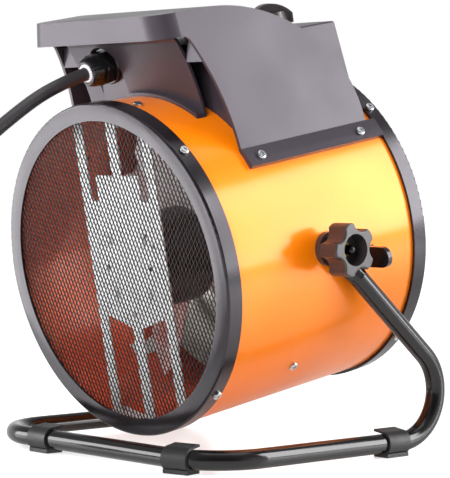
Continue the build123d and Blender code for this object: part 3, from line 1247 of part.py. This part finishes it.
make_stand()
make_drum()
make_grilles()
make_bracket()
make_motor()
make_fan()
make_heating()
make_cover()
make_scoop()
make_gland()
make_controls()
make_clamps()
make_cord()

os.makedirs("parts", exist_ok=True)
for name, solids in parts.items():
    export_step(Compound(children=solids), f"parts/{name}.step")
print(len(parts), "nodes")
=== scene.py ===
from math import cos, hypot, pi, radians, sin

import bpy
import numpy as np
from mathutils import Euler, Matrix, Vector


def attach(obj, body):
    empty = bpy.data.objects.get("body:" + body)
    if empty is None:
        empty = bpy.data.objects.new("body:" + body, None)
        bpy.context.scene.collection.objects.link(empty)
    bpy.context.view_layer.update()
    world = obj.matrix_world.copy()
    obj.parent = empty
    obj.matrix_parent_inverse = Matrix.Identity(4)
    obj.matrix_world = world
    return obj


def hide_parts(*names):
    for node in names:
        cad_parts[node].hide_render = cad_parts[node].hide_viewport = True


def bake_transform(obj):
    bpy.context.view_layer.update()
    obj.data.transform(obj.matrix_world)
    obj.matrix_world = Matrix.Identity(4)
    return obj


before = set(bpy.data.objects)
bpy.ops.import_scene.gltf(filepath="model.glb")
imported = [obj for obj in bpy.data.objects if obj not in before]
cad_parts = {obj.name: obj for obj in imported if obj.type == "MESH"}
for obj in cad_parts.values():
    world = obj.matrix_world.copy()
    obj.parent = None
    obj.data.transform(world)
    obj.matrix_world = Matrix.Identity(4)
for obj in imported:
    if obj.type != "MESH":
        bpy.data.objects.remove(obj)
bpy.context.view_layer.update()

# ---------------------------------------------------------------- camera
# The photographer stands off the intake's near corner, a little above the drum's axis, with a long lens.
# The place and the focal length put the drum's two rims and the stand where the picture has them.
FRAME_WIDTH, FRAME_HEIGHT = 450, 478
SENSOR = 36.0
FOCAL_PIXELS = 2260.66
EYE = (-1.26099, -1.43777, 0.24901)
YAW, PITCH = 0.845632, -0.0378765
FARTHEST_SEEN = 40.0

lens = bpy.data.cameras.new("camera")
lens.sensor_width = SENSOR
lens.lens = FOCAL_PIXELS * SENSOR / max(FRAME_WIDTH, FRAME_HEIGHT)
lens.clip_end = FARTHEST_SEEN
camera = bpy.data.objects.new("camera", lens)
camera.location = EYE
camera.rotation_euler = Euler((pi / 2 + PITCH, 0, YAW - pi / 2))
bpy.context.scene.collection.objects.link(camera)
bpy.context.scene.camera = camera

# ---------------------------------------------------------------- supply lead
# Round rubber-sheathed lead of 11 mm: out of the gland, down behind the intake and into a tied round coil
# on the floor. The moulded plug lies beside the coil, at the end of its last turn.
LEAD_RADIUS = 0.0055
GLAND_MOUTH = (-0.1114, 0.033, 0.3141)
GLAND_WAY = (-0.951, 0.0, -0.309)
STRAIGHT_OUT = 0.036
FLOOR_RUN = 0.0365
LEAD_LEVEL = 0.0068
COIL_CENTRE = (-0.357, 0.105)
COIL_OUTER = 0.072
COIL_PITCH = 0.0116
COIL_TUCK = 0.0025
COIL_STEPS = 24
TURNS_IN, TURNS_CLIMBING, TURNS_OUT = 1.0, 0.5, 1.0
TURNS_TO_PLUG = 0.5
PLUG_LEVEL = 0.019
ROUTE_STEPS = 6
ROUND_STEPS = 6
NOISE_LOW, NOISE_HIGH = 0.3, 0.7  # nearly all of a noise texture lies between these


def linear(code):
    """A colour written as sRGB hex, as the linear colour and alpha that a shader takes."""
    parts = np.array([int(code[n : n + 2], 16) for n in (1, 3, 5)]) / 255
    return (*np.where(parts <= 0.04045, parts / 12.92, ((parts + 0.055) / 1.055) ** 2.4), 1.0)


def add(tree, kind, inputs=(), **settings):
    """Adds one node. inputs gives a socket a value or another node's output; settings are the node's own."""
    node = tree.nodes.new(kind)
    for name, value in settings.items():
        setattr(node, name, value)
    for name, value in dict(inputs).items():
        if isinstance(value, bpy.types.NodeSocket):
            tree.links.new(value, node.inputs[name])
        else:
            node.inputs[name].default_value = value
    return node


def finish(name, colour, roughness, grain=0.0012, relief=0.04, cloud=0.03, uneven=0.06, tone=0.12, **sockets):
    """One solid finish: fine relief of the given grain, and a slow cloud that moves gloss and tone a little.

    grain and cloud are real sizes in metres, relief is the bump's depth as a share of the grain, uneven is
    how far the roughness swings and tone how far the colour darkens. sockets are the shader's own constants.
    """
    material = bpy.data.materials.new(name)
    material.use_nodes = True
    tree = material.node_tree
    shader = tree.nodes["Principled BSDF"]
    for socket, value in sockets.items():
        shader.inputs[socket.replace("_", " ")].default_value = value
    place = add(tree, "ShaderNodeTexCoord").outputs["Object"]
    slow = add(tree, "ShaderNodeTexNoise", {"Vector": place, "Scale": 1 / cloud, "Detail": 3.0})
    swing = add(tree, "ShaderNodeMapRange", {"Value": slow.outputs["Fac"], "From Min": NOISE_LOW,
                                             "From Max": NOISE_HIGH, "To Min": roughness - uneven,
                                             "To Max": roughness + uneven})
    tree.links.new(swing.outputs["Result"], shader.inputs["Roughness"])
    deep = tuple(c * (1 - tone) for c in linear(colour)[:3]) + (1.0,)
    mixed = add(tree, "ShaderNodeMix", {"Factor": slow.outputs["Fac"], "A": linear(colour), "B": deep},
                data_type="RGBA")
    tree.links.new(mixed.outputs["Result"], shader.inputs["Base Color"])
    fine = add(tree, "ShaderNodeTexNoise", {"Vector": place, "Scale": 1 / grain, "Detail": 2.0})
    bump = add(tree, "ShaderNodeBump", {"Height": fine.outputs["Fac"], "Distance": grain * relief,
                                        "Strength": 1.0})
    tree.links.new(bump.outputs["Normal"], shader.inputs["Normal"])
    return material


def dress(material, *nodes):
    """Gives a finish to pieces that keep the shape they were engineered with."""
    for node in nodes:
        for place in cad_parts[node].material_slots:
            place.material = material


def coil_centreline(turns):
    """The coil's centreline after so many turns, clockwise from above: a spiral in, a climb, a spiral out.

    The first turn winds inwards, the next half turn climbs to the second layer, and the last turn winds
    outwards there, with a rise to the plug's axis at its end. The curve passes each control point at three
    quarters of it and an eighth of both its neighbours, so the points stand out by what that takes off.
    """
    inner = COIL_OUTER - COIL_PITCH
    climb_end = TURNS_IN + TURNS_CLIMBING
    plug_start = climb_end + TURNS_OUT - TURNS_TO_PLUG
    climbed = np.clip((turns - TURNS_IN) / TURNS_CLIMBING, 0, 1)
    to_plug = np.clip((turns - plug_start) / TURNS_TO_PLUG, 0, 1)
    winding_in = COIL_OUTER - COIL_PITCH * turns
    climbing = inner - COIL_TUCK * np.sin(pi * climbed)
    winding_out = inner + COIL_PITCH * (turns - climb_end)
    radius = np.where(turns <= TURNS_IN, winding_in, np.where(turns > climb_end, winding_out, climbing))
    level = LEAD_LEVEL + COIL_PITCH * (1 - np.cos(pi * climbed)) / 2
    level = level + (PLUG_LEVEL - LEAD_LEVEL - COIL_PITCH) * (1 - np.cos(pi * to_plug)) / 2
    angle = -pi / 2 - 2 * pi * turns
    stand_out = radius / (0.75 + 0.25 * cos(2 * pi / COIL_STEPS))
    x, y = stand_out * np.cos(angle), stand_out * np.sin(angle)
    return np.stack([COIL_CENTRE[0] + x, COIL_CENTRE[1] + y, level], 1)


# the hanging points are given one by one; the bend on to the floor turns in equal steps of 30 degrees
third, sixth = FLOOR_RUN * cos(pi / 3), FLOOR_RUN * cos(pi / 6)
coil_start = (COIL_CENTRE[0] + 2 * LEAD_RADIUS, COIL_CENTRE[1] - COIL_OUTER, LEAD_LEVEL)
drop = coil_start[0] + FLOOR_RUN + third + sixth
lead_points = [
    GLAND_MOUTH,
    tuple(a + STRAIGHT_OUT * b for a, b in zip(GLAND_MOUTH, GLAND_WAY)),
    (-0.188, 0.033, 0.277),
    (-0.222, 0.035, 0.251),
    (-0.247, 0.037, 0.213),
    (drop + 0.001, 0.039, 0.163),
    (drop + 0.003, 0.038, 0.110),
    (drop, 0.035, LEAD_LEVEL + third + sixth),
    (drop - third, 0.033, LEAD_LEVEL + third),
    (drop - third - sixth, coil_start[1], LEAD_LEVEL),
    coil_start,
]
coil_steps = (TURNS_IN + TURNS_CLIMBING + TURNS_OUT) * COIL_STEPS
coil_points = coil_centreline(np.arange(0, coil_steps + 1) / COIL_STEPS)
plug_end = tuple(coil_points[-1] + (2 * LEAD_RADIUS, 0, 0))
control = np.vstack([lead_points, coil_points, [plug_end]])

route = bpy.data.curves.new("lead_route", "CURVE")
route.dimensions = "3D"
route.resolution_u = ROUTE_STEPS
spline = route.splines.new("NURBS")
spline.points.add(len(control) - 1)
spline.points.foreach_set("co", np.column_stack([control, np.ones(len(control))]).ravel())
spline.order_u = 3
spline.use_endpoint_u = True
route_object = bpy.data.objects.new("lead_route", route)
bpy.context.scene.collection.objects.link(route_object)
line = bpy.data.meshes.new_from_object(route_object)
route.bevel_depth = LEAD_RADIUS
route.bevel_resolution = ROUND_STEPS
route.use_fill_caps = True
lead = bpy.data.objects.new("supply_lead", bpy.data.meshes.new_from_object(route_object))
bpy.context.scene.collection.objects.link(lead)
bpy.data.objects.remove(route_object)
for polygon in lead.data.polygons:
    polygon.use_smooth = True

# vulcanised rubber sheath: dark grey, satin from handling, with faint dust that dulls it in patches
sheath = finish("rubber_sheath", "#302E30", 0.36, grain=0.0015, relief=0.03, cloud=0.02, uneven=0.09)
lead.data.materials.append(sheath)
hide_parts("power_cord", "cord_coil")
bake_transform(lead)

# moulded PVC plug, matt from its mould, and nickel-plated brass pins, bright and a little warm
dress(finish("moulded_pvc", "#2A2A2B", 0.55, grain=0.0008, relief=0.05, cloud=0.03), "plug_body")
dress(finish("plated_brass", "#D9C48A", 0.24, Metallic=1.0, grain=0.0006, relief=0.01), "plug_pins")
# woven hook-and-loop tape: loops a millimetre apart give it a dull, furry tooth
dress(finish("loop_tape", "#242425", 0.85, grain=0.001, relief=0.35, cloud=0.01), "cord_tie")

# ---------------------------------------------------------------- tilting stand
# One bent steel tube of 16 mm with flattened, drilled ends, under thick powder coat. Four moulded clips
# snapped on the floor tubes are its feet.
# thick powder coat mirrors the room in a deep black, broken a little by its orange peel
gloss_coat = finish("gloss_powder_coat", "#0F0D0E", 0.15, grain=0.0018, relief=0.012, cloud=0.04, uneven=0.04)
dress(gloss_coat, "stand_tube")
# moulded polyethylene is waxy: duller and greyer than the tube
dress(finish("polyethylene", "#1B1B1C", 0.48, grain=0.0009, relief=0.05, cloud=0.02), "foot_clips")

# ---------------------------------------------------------------- drum
# Rolled sheet steel with an orange metallic coat. Under its clear coat the lamp lies as a pale yellow band on
# the upper flank, and the belly stays red-orange. Inside is the same coat, painted darker and redder there as
# painted shade, and with no metal in it.
PIVOT = (0.002704, 0.1725)
PIVOT_ALONG = 0.113
TILT = radians(10.0)
BETWEEN_SKINS = 0.1354
INSIDE_SHADED_ORANGE = "#D24A22"
METAL_SHARE = 0.25
orange_coat = finish("orange_metallic_coat", "#FF8205", 0.36, grain=0.0014, relief=0.012, cloud=0.05,
                     uneven=0.03, tone=0.05, Specular_Tint=(1.0, 0.6, 0.2, 1.0), Coat_Weight=0.45,
                     Coat_Roughness=0.16)
# the drum is one piece, so a point is inside when its distance from the tilted axis is less than the skins'
tree = orange_coat.node_tree
shader = tree.nodes["Principled BSDF"]
place = add(tree, "ShaderNodeTexCoord").outputs["Object"]
from_pivot = add(tree, "ShaderNodeVectorMath", {0: place, 1: (PIVOT[0], 0, PIVOT[1])},
                 operation="SUBTRACT").outputs[0]
upward = add(tree, "ShaderNodeVectorMath", {0: from_pivot, 1: (-sin(TILT), 0, cos(TILT))},
             operation="DOT_PRODUCT").outputs["Value"]
aside = add(tree, "ShaderNodeSeparateXYZ", {"Vector": from_pivot}).outputs["Y"]
spoke = add(tree, "ShaderNodeCombineXYZ", {"X": upward, "Y": aside}).outputs[0]
from_axis = add(tree, "ShaderNodeVectorMath", {0: spoke}, operation="LENGTH").outputs["Value"]
inside = add(tree, "ShaderNodeMath", {0: from_axis, 1: BETWEEN_SKINS}, operation="LESS_THAN").outputs[0]
outside_colour = shader.inputs["Base Color"].links[0].from_socket
# painted shade: inside the drum the same orange coat is given a darker, redder colour
skin_and_inside_shade = add(tree, "ShaderNodeMix", {"Factor": inside, "A": outside_colour, "B": linear(INSIDE_SHADED_ORANGE)},
           data_type="RGBA")
tree.links.new(skin_and_inside_shade.outputs["Result"], shader.inputs["Base Color"])
metal = add(tree, "ShaderNodeMapRange", {"Value": inside, "To Min": METAL_SHARE, "To Max": 0.0})
tree.links.new(metal.outputs["Result"], shader.inputs["Metallic"])
dress(orange_coat, "drum_shell")

# ---------------------------------------------------------------- trim rings
# Spun sheet rings over both ends of the drum, in black enamel, each held by four pan-head screws of bright
# zinc. The stops beside the pivots have the same enamel.
# stoved enamel is smooth and shows the room softly, a little violet
satin_enamel = finish("satin_enamel", "#171416", 0.22, grain=0.0012, relief=0.02, cloud=0.04, IOR=1.5,
                      Specular_Tint=(0.96, 0.9, 1.0, 1.0))
dress(satin_enamel, "intake_ring", "outlet_ring", "tilt_stops")
# bright zinc plate is a clean, bluish silver; phosphate leaves the bolts dark grey with a dull glint
zinc = finish("bright_zinc", "#D6D8DB", 0.25, grain=0.0006, relief=0.03, cloud=0.002, Metallic=1.0)
dress(zinc, "ring_screws", "bracket_screws", "cover_screws", "shield_screws", "fan_nut")
dress(finish("phosphated_steel", "#3A3839", 0.3, grain=0.0008, relief=0.03, Metallic=1.0), "pivot_bolts")

# ---------------------------------------------------------------- intake grille
# Expanded steel: a slit and stretched sheet with a diamond every 4.55 mm across and 8.06 mm along, cut at a
# slant to the drum and painted black. Each strand stands a little askew, as the stretching leaves it.
DIAMOND, DIAMOND_LONG = 0.00455, 0.00806
STRAND = 0.0006
STRAND_THICKNESS = 0.0006
STRAND_LEAN = 0.0003
GRILLE_SLANT = radians(10.7)
GRILLE_LEVEL = 0.0031
GRILLE_REACH = 0.128


def on_heater(points):
    """Points of the heater's own frame, as they stand tilted about the pivot on the stand.

    In that frame the airflow is along X from the intake's face, and the drum's axis is at Y = Z = 0.
    """
    along, height = points[:, 0] - PIVOT_ALONG, points[:, 2]
    x = PIVOT[0] + along * cos(TILT) - height * sin(TILT)
    z = PIVOT[1] + along * sin(TILT) + height * cos(TILT)
    return np.stack([x, points[:, 1], z], 1)


def new_piece(name, vertices, faces, material, body):
    """Makes one mesh of the arrays, flat-faced and with its finish, riding on a body."""
    mesh = bpy.data.meshes.new(name)
    mesh.from_pydata(vertices.tolist(), [], faces.tolist())
    mesh.materials.append(material)
    mesh.update()
    piece = bpy.data.objects.new(name, mesh)
    bpy.context.scene.collection.objects.link(piece)
    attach(piece, body)
    return piece


def diamond_mesh():
    """Rhombic cells on a slanted lattice: every cell is a rhombus with a smaller rhombus cut out of it.

    Four sides of front, back and inner wall make twelve faces a cell. The outer edge is the strands'
    centreline; the hole's upper corner stands forward and its lower corner back, so each strand leans.
    """
    half = np.array([DIAMOND, DIAMOND_LONG]) / 2
    count = int(GRILLE_REACH / half[0]) + 2
    i, j = np.meshgrid(np.arange(-count, count + 1), np.arange(-count, count + 1))
    keep = (i + j) % 2 == 0
    centres = np.stack([i[keep] * half[0], j[keep] * half[1]], 1)
    centres = centres[np.hypot(centres[:, 0], centres[:, 1]) < GRILLE_REACH]
    corners = np.array([[1, 0], [0, 1], [-1, 0], [0, -1]]) * half
    shrink = 1 - STRAND / 2 * hypot(*half) / (half[0] * half[1])
    level, lean = np.zeros(4), np.array([0, 1, 0, -1]) * STRAND_LEAN
    front, back = -STRAND_THICKNESS / 2, STRAND_THICKNESS / 2
    rings = [(1.0, level + front), (shrink, -lean + front), (shrink, -lean + back), (1.0, level + back)]
    cell = np.concatenate([np.column_stack([along, corners * scale]) for scale, along in rings])
    points = cell[None] + np.insert(centres, 0, 0.0, axis=1)[:, None]
    points = points.reshape(-1, 3)
    slant = np.array([[cos(GRILLE_SLANT), sin(GRILLE_SLANT)], [-sin(GRILLE_SLANT), cos(GRILLE_SLANT)]])
    points[:, 1:] = points[:, 1:] @ slant
    points[:, 0] += GRILLE_LEVEL
    side = np.arange(4)
    after = (side + 1) % 4
    bands = [np.stack([ring * 4 + side, ring * 4 + 4 + side, ring * 4 + 4 + after, ring * 4 + after], 1)
             for ring in range(3)]
    faces = np.concatenate(bands)[None] + np.arange(len(centres))[:, None, None] * len(cell)
    return on_heater(points), faces.reshape(-1, 4)


# stretched steel under thin black enamel: satin, with the sharp edges catching light
strand_paint = finish("enamelled_steel_mesh", "#1C1616", 0.4, grain=0.002, relief=0.02, cloud=0.02, IOR=1.35)
grille = new_piece("intake_mesh", *diamond_mesh(), strand_paint, "heater")
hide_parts("intake_grille")

# ---------------------------------------------------------------- motor and its bracket
# Galvanised bracket across the intake, with three upright strips; the motor hangs behind it on posts, a
# black enamelled can with a bright shaft.
# galvanised sheet is a pale matt grey, clouded from patch to patch
galvanised = finish("galvanised_sheet", "#DADBDC", 0.5, grain=0.003, relief=0.02, cloud=0.006, uneven=0.12,
                    Metallic=0.3)
dress(galvanised, "motor_bracket", "motor_screws", "shield_tabs", "element_supports")
# the can's enamel is a plain satin black, and the stacked sheets inside it show a fine tooth on their edges
dress(finish("enamelled_motor", "#171617", 0.4, grain=0.001, relief=0.03), "motor_can", "motor_front_cap",
      "motor_back_cap")
dress(finish("stacked_laminations", "#6F6F72", 0.45, grain=0.0005, relief=0.1, Metallic=1.0), "motor_stator",
      "motor_rotor")
# turned steel is a bright grey with sharp glints
turned_steel = finish("turned_steel", "#C9CACC", 0.22, grain=0.0008, relief=0.02, Metallic=1.0)
dress(turned_steel, "motor_posts", "motor_bearings", "motor_shaft", "mode_shaft", "thermostat_shaft")

# ---------------------------------------------------------------- fan
# Five pressed aluminium blades riveted to a hub. Bare from the press, they are almost white in the dark
# drum, with a soft glint.
dress(finish("pressed_aluminium", "#F4F5F6", 0.35, grain=0.002, relief=0.02, cloud=0.02, Metallic=0.3), "fan")

# ---------------------------------------------------------------- heating
# Three ring-shaped sheathed elements on radial supports, with ceramic beads where their legs leave the
# shell, inside a shield of aluminised sheet. Switches, terminals and the outlet's guard are with them.
# the shield is a warm silver, and the elements' sheaths are dulled and browned by their own heat
dress(finish("aluminised_sheet", "#B9B6AE", 0.34, grain=0.002, relief=0.02, cloud=0.03, Metallic=1.0),
      "heat_shield")
dress(finish("heat_browned_sheath", "#7A665A", 0.4, grain=0.001, relief=0.04, cloud=0.01, Metallic=0.9),
      "heating_element_inner", "heating_element_middle", "heating_element_outer")
# steatite is a creamy matt ceramic, phenolic a brown-black satin plastic, urea a creamy one
dress(finish("steatite", "#E9E4DA", 0.5, grain=0.001, relief=0.03), "element_insulators")
dress(finish("phenolic", "#2A2523", 0.4, grain=0.001, relief=0.03), "thermal_cutout", "mode_switch",
      "thermostat_switch")
dress(finish("urea_plastic", "#DAD6CC", 0.45, grain=0.001, relief=0.03), "terminal_block")
# drawn copper is bright and pink; the guard's wire is painted a satin black
dress(finish("drawn_copper", "#C98A63", 0.3, grain=0.001, relief=0.02, Metallic=1.0), "thermostat_bulb")
dress(finish("black_wire", "#201E1E", 0.38, grain=0.001, relief=0.02), "outlet_guard")

# ---------------------------------------------------------------- handle cover and control box
# Moulded ABS, screwed to the drum: the cover with its carrying lip, the curved wall behind the hand gap and
# the box for the selectors. Its fine satin grain softens the lamps, which look a little violet in it.
satin_abs = finish("satin_abs", "#322D33", 0.33, grain=0.0010, relief=0.03, cloud=0.05, uneven=0.04, IOR=1.47,
                   Specular_Tint=(0.96, 0.88, 1.0, 1.0))
dress(satin_abs, "handle_cover", "control_box", "scoop_wall")

# ---------------------------------------------------------------- cable gland
# Black nylon gland screwed through the pad: a round flange, a hexagon, and a ribbed cap nut that squeezes a
# ring of pale claws on to the lead. Its profile is in millimetres, with the pad's face at height 0.
GLAND_PLACE = (0.052, 0.033, 0.163)
GLAND_DROOP = radians(8.0)
GLAND_STEPS = 144
FLAT_ANGLE = pi / 3
MM_PER_METRE = 1000
THREAD_FOOT, THREAD_RADIUS = -10, 10
FLANGE_FOOT, FLANGE_RADIUS = 0.05, 16
FLANGE_TOP = 4.1
BODY_TOP, BODY_MOUTH, NECK_RADIUS = 15, 5.6, 11.4
HALF_HEXAGON = 13
NUT_FOOT, NUT_SEAT, NUT_SEAT_RADIUS = 13.5, 15.6, 11.6
CLAW_FOOT, CLAW_BORE = 15.9, 5.7
RIBS = 24
UNCUT = 20


def round_at(height, radius, ribs=0):
    """One station of a profile where it is round, with ribs of a depth cut into it."""
    return height, radius, 0, UNCUT, ribs


def hexagon_at(height, half, cut, hexagonal=1, ribs=0):
    """One station where it is a hexagon of a half width, with its corners turned off at a radius."""
    return height, half, hexagonal, cut, ribs


def ringed(stations):
    """A closed ring about the gland's axis, from a loop of stations.

    At an angle from a flat's middle the radius is the half width times 1 over its cosine, mixed with the
    half width alone by how hexagonal the station is, and no more than the cut. A wave of ribs goes off it.
    """
    height, half, hexagonal, cut, ribs = np.array(stations).T[:, :, None]
    angle = np.arange(GLAND_STEPS) * 2 * pi / GLAND_STEPS
    from_flat = (angle + FLAT_ANGLE / 2) % FLAT_ANGLE - FLAT_ANGLE / 2
    radius = np.minimum(half * (1 + hexagonal * (1 / np.cos(from_flat) - 1)), cut)
    radius = radius - ribs * (1 + np.cos(RIBS * angle)) / 2
    x, y, z = radius * np.cos(angle), radius * np.sin(angle), height + 0 * angle
    lean = -pi / 2 - GLAND_DROOP
    leaning = np.stack([x * cos(lean) + z * sin(lean), y, z * cos(lean) - x * sin(lean)], -1)
    points = leaning / MM_PER_METRE + GLAND_PLACE
    row, column = np.meshgrid(np.arange(len(stations)), np.arange(GLAND_STEPS), indexing="ij")
    down, beside = (row + 1) % len(stations), (column + 1) % GLAND_STEPS
    faces = np.stack([row * GLAND_STEPS + column, row * GLAND_STEPS + beside, down * GLAND_STEPS + beside,
                      down * GLAND_STEPS + column], -1)
    return on_heater(points.reshape(-1, 3)), faces.reshape(-1, 4)


# moulded nylon, a glossy black that shows the lamps as small sharp glints
glossy_nylon = finish("glossy_nylon", "#131314", 0.18, grain=0.001, relief=0.02)
dress(glossy_nylon, "gland_locknut")
# thread, flange with a rounded edge, hexagon with broken edges, neck that the nut screws on
gland_body = new_piece("gland_body_moulded", *ringed([
    round_at(THREAD_FOOT, BODY_MOUTH), round_at(THREAD_FOOT, THREAD_RADIUS),
    round_at(FLANGE_FOOT, THREAD_RADIUS), round_at(FLANGE_FOOT, FLANGE_RADIUS),
    round_at(2.8, FLANGE_RADIUS), round_at(3.6, 15.7), round_at(FLANGE_TOP, 14.9),
    hexagon_at(FLANGE_TOP, 12.5, 13.8), hexagon_at(4.8, HALF_HEXAGON, 14.5),
    hexagon_at(12.3, HALF_HEXAGON, 14.5), hexagon_at(13, 12.6, 13.8),
    round_at(13.1, NECK_RADIUS), round_at(BODY_TOP, NECK_RADIUS), round_at(BODY_TOP, BODY_MOUTH),
]), glossy_nylon, "heater")
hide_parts("gland_body")
# hexagon that turns round and ribbed towards a domed lip, then the bore back down to the seat
cap_nut = new_piece("gland_cap_nut", *ringed([
    round_at(NUT_FOOT, NUT_SEAT_RADIUS), hexagon_at(NUT_FOOT, 12.6, 13.6),
    hexagon_at(14.1, HALF_HEXAGON, 14.2), hexagon_at(17.6, HALF_HEXAGON, 14.2),
    hexagon_at(18.6, 12.8, 13.7, hexagonal=0.6, ribs=0.1),
    hexagon_at(21.4, 12.5, 13.2, hexagonal=0.2, ribs=0.3), round_at(23.6, 11.9, ribs=0.3),
    round_at(25, 10.8, ribs=0.2), round_at(25.9, 9.5), round_at(26.1, 8.6), round_at(25.5, 8),
    round_at(NUT_SEAT, 7.8), round_at(NUT_SEAT, NUT_SEAT_RADIUS),
]), glossy_nylon, "heater")
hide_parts("gland_nut")
# the claws' natural nylon stays milky where the nut strains it
strained_nylon = finish("strained_nylon", "#D9D6DC", 0.3, grain=0.0008, relief=0.03)
claws = new_piece("gland_claws", *ringed([
    round_at(CLAW_FOOT, CLAW_BORE), round_at(CLAW_FOOT, 7.7), round_at(25.3, 7.9, ribs=0.3),
    round_at(26.4, 8, ribs=1), round_at(27, 7.2, ribs=1), round_at(27.1, 6.1, ribs=0.2),
    round_at(26.4, CLAW_BORE),
]), strained_nylon, "heater")

# ---------------------------------------------------------------- selectors and clamp knobs
# Moulded knobs: two round ones on the selectors' shafts, and two five-lobed ones with brass inserts, which
# clamp the tilt. Round spacers hold the drum off the stand's ends.
# moulded nylon is a satin black, a little warm; the inserts are turned brass, yellow and bright
satin_nylon = finish("satin_nylon", "#2B2527", 0.34, grain=0.001, relief=0.03, IOR=1.6)
dress(satin_nylon, "mode_knob", "thermostat_knob", "clamp_knob_near", "clamp_knob_far", "pivot_spacers")
dress(finish("turned_brass", "#D2A95F", 0.28, grain=0.0008, relief=0.02, Metallic=1.0), "knob_insert_near",
      "knob_insert_far")

# ---------------------------------------------------------------- floor and light
# White paper on the floor of a white studio. A softbox stands off the right flank and a weak one hangs
# overhead. Beyond the far side a light table and a softbox shine into the ring's face and the lip, and a
# fill before the intake, which no gloss shows, lights what is inside.
FLOOR_HALF = 6.0
PAPER, PAPER_ROUGHNESS, PAPER_SPECULAR = "#D6D6D6", 0.2, 0.4
FLOOR_GLOW = 0.55
FLOOR_GLOSS_GLOW = 0.1
CENTRE = Vector((0.0, 0.0, 0.17))


def seen_straight(tree, ray):
    """1 where the eye sees a surface straight or through glass, 0 where it only lights or is mirrored."""
    shown = add(tree, "ShaderNodeMath", {0: ray["Is Camera Ray"], 1: ray["Is Transmission Ray"]},
                operation="MAXIMUM")
    return shown.outputs[0]


corners = [(x * FLOOR_HALF, y * FLOOR_HALF, 0) for x, y in ((-1, -1), (1, -1), (1, 1), (-1, 1))]
floor_mesh = bpy.data.meshes.new("floor")
floor_mesh.from_pydata(corners, [], [(0, 1, 2, 3)])
floor = bpy.data.objects.new("floor", floor_mesh)
bpy.context.scene.collection.objects.link(floor)
# smooth white paper with its own glow, so that it stays white and still holds the object's shadow
paper = bpy.data.materials.new("white_paper")
paper.use_nodes = True
tree = paper.node_tree
shader = tree.nodes["Principled BSDF"]
shader.inputs["Base Color"].default_value = linear(PAPER)
shader.inputs["Roughness"].default_value = PAPER_ROUGHNESS
shader.inputs["Specular IOR Level"].default_value = PAPER_SPECULAR
ray = add(tree, "ShaderNodeLightPath").outputs
straight = add(tree, "ShaderNodeMath", {0: seen_straight(tree, ray), 1: FLOOR_GLOW}, operation="MULTIPLY")
lift = add(tree, "ShaderNodeMath", {0: ray["Is Glossy Ray"], 1: FLOOR_GLOSS_GLOW, 2: straight.outputs[0]},
           operation="MULTIPLY_ADD")
glow = add(tree, "ShaderNodeEmission", {"Color": (1, 1, 1, 1), "Strength": lift.outputs[0]})
both = add(tree, "ShaderNodeAddShader", {0: shader.outputs[0], 1: glow.outputs[0]})
tree.links.new(both.outputs[0], tree.nodes["Material Output"].inputs["Surface"])
floor_mesh.materials.append(paper)

# The room is white to the eye and lights the object evenly. Gloss shows it white all round but dark behind
# the photographer, and dimmer towards the ceiling. The edges are where that starts and is complete, as the
# cosine of the angle to the dark way and as the sine of the angle above the horizon.
ROOM_LEVEL = 0.5
DARK_WAY = (-0.66, -0.75, 0.0)
DARK_LEVEL = 0.06
DARK_EDGE, DARK_WHOLE = 0.5, 0.9
CEILING_LEVEL = 0.3
CEILING_EDGE, CEILING_WHOLE = 0.12, 0.6
world = bpy.data.worlds.new("studio")
bpy.context.scene.world = world
world.use_nodes = True
tree = world.node_tree
ray = add(tree, "ShaderNodeLightPath").outputs
way = add(tree, "ShaderNodeTexCoord").outputs["Generated"]
facing = add(tree, "ShaderNodeVectorMath", {0: way, 1: DARK_WAY}, operation="DOT_PRODUCT").outputs["Value"]
front = add(tree, "ShaderNodeMapRange", {"Value": facing, "From Min": DARK_EDGE, "From Max": DARK_WHOLE,
                                         "To Min": 1.0, "To Max": DARK_LEVEL},
            interpolation_type="SMOOTHSTEP")
height = add(tree, "ShaderNodeSeparateXYZ", {"Vector": way}).outputs["Z"]
above = add(tree, "ShaderNodeMapRange", {"Value": height, "From Min": CEILING_EDGE, "From Max": CEILING_WHOLE,
                                         "To Min": 1.0, "To Max": CEILING_LEVEL},
            interpolation_type="SMOOTHSTEP")
mirrored = add(tree, "ShaderNodeMath", {0: front.outputs["Result"], 1: above.outputs["Result"]},
               operation="MULTIPLY").outputs[0]
plain = add(tree, "ShaderNodeMapRange", {"Value": seen_straight(tree, ray), "To Min": ROOM_LEVEL,
                                         "To Max": 1.0})
level = add(tree, "ShaderNodeMix", {"Factor": ray["Is Glossy Ray"], "A": plain.outputs["Result"],
                                    "B": mirrored}, data_type="FLOAT")
tree.links.new(level.outputs["Result"], tree.nodes["Background"].inputs["Strength"])
tree.nodes["Background"].inputs["Color"].default_value = (1, 1, 1, 1)

# name, place, what it points at, size across and up, radiance, whether gloss shows it
SOFTBOXES = (
    ("softbox_flank", (1.5, -1.42, 1.07), (0.0, 0.0, 1.07), (0.85, 1.9), 9.5, True),
    ("softbox_top", (0.2, -0.2, 2.2), CENTRE, (1.8, 1.8), 1.0, True),
    ("light_table_far", (-1.1, 1.2, 0.02), (-1.1, 1.2, 1.0), (1.7, 2.2), 3.3, True),
    ("softbox_far", (-1.7, 1.9, 0.6), CENTRE, (1.6, 1.0), 7.0, True),
    ("fill_intake", (-1.6, -0.6, 0.95), CENTRE, (1.2, 1.2), 12.0, False),
)
for name, place, aim, size, radiance, in_gloss in SOFTBOXES:
    lamp = bpy.data.lights.new(name, "AREA")
    lamp.shape = "RECTANGLE"
    lamp.size, lamp.size_y = size
    lamp.energy = radiance * pi * size[0] * size[1]
    box = bpy.data.objects.new(name, lamp)
    box.location = place
    box.rotation_euler = (Vector(place) - Vector(aim)).to_track_quat("Z", "Y").to_euler()
    box.visible_camera = False
    box.visible_glossy = in_gloss
    bpy.context.scene.collection.objects.link(box)

bpy.context.scene.view_settings.view_transform = "Standard"
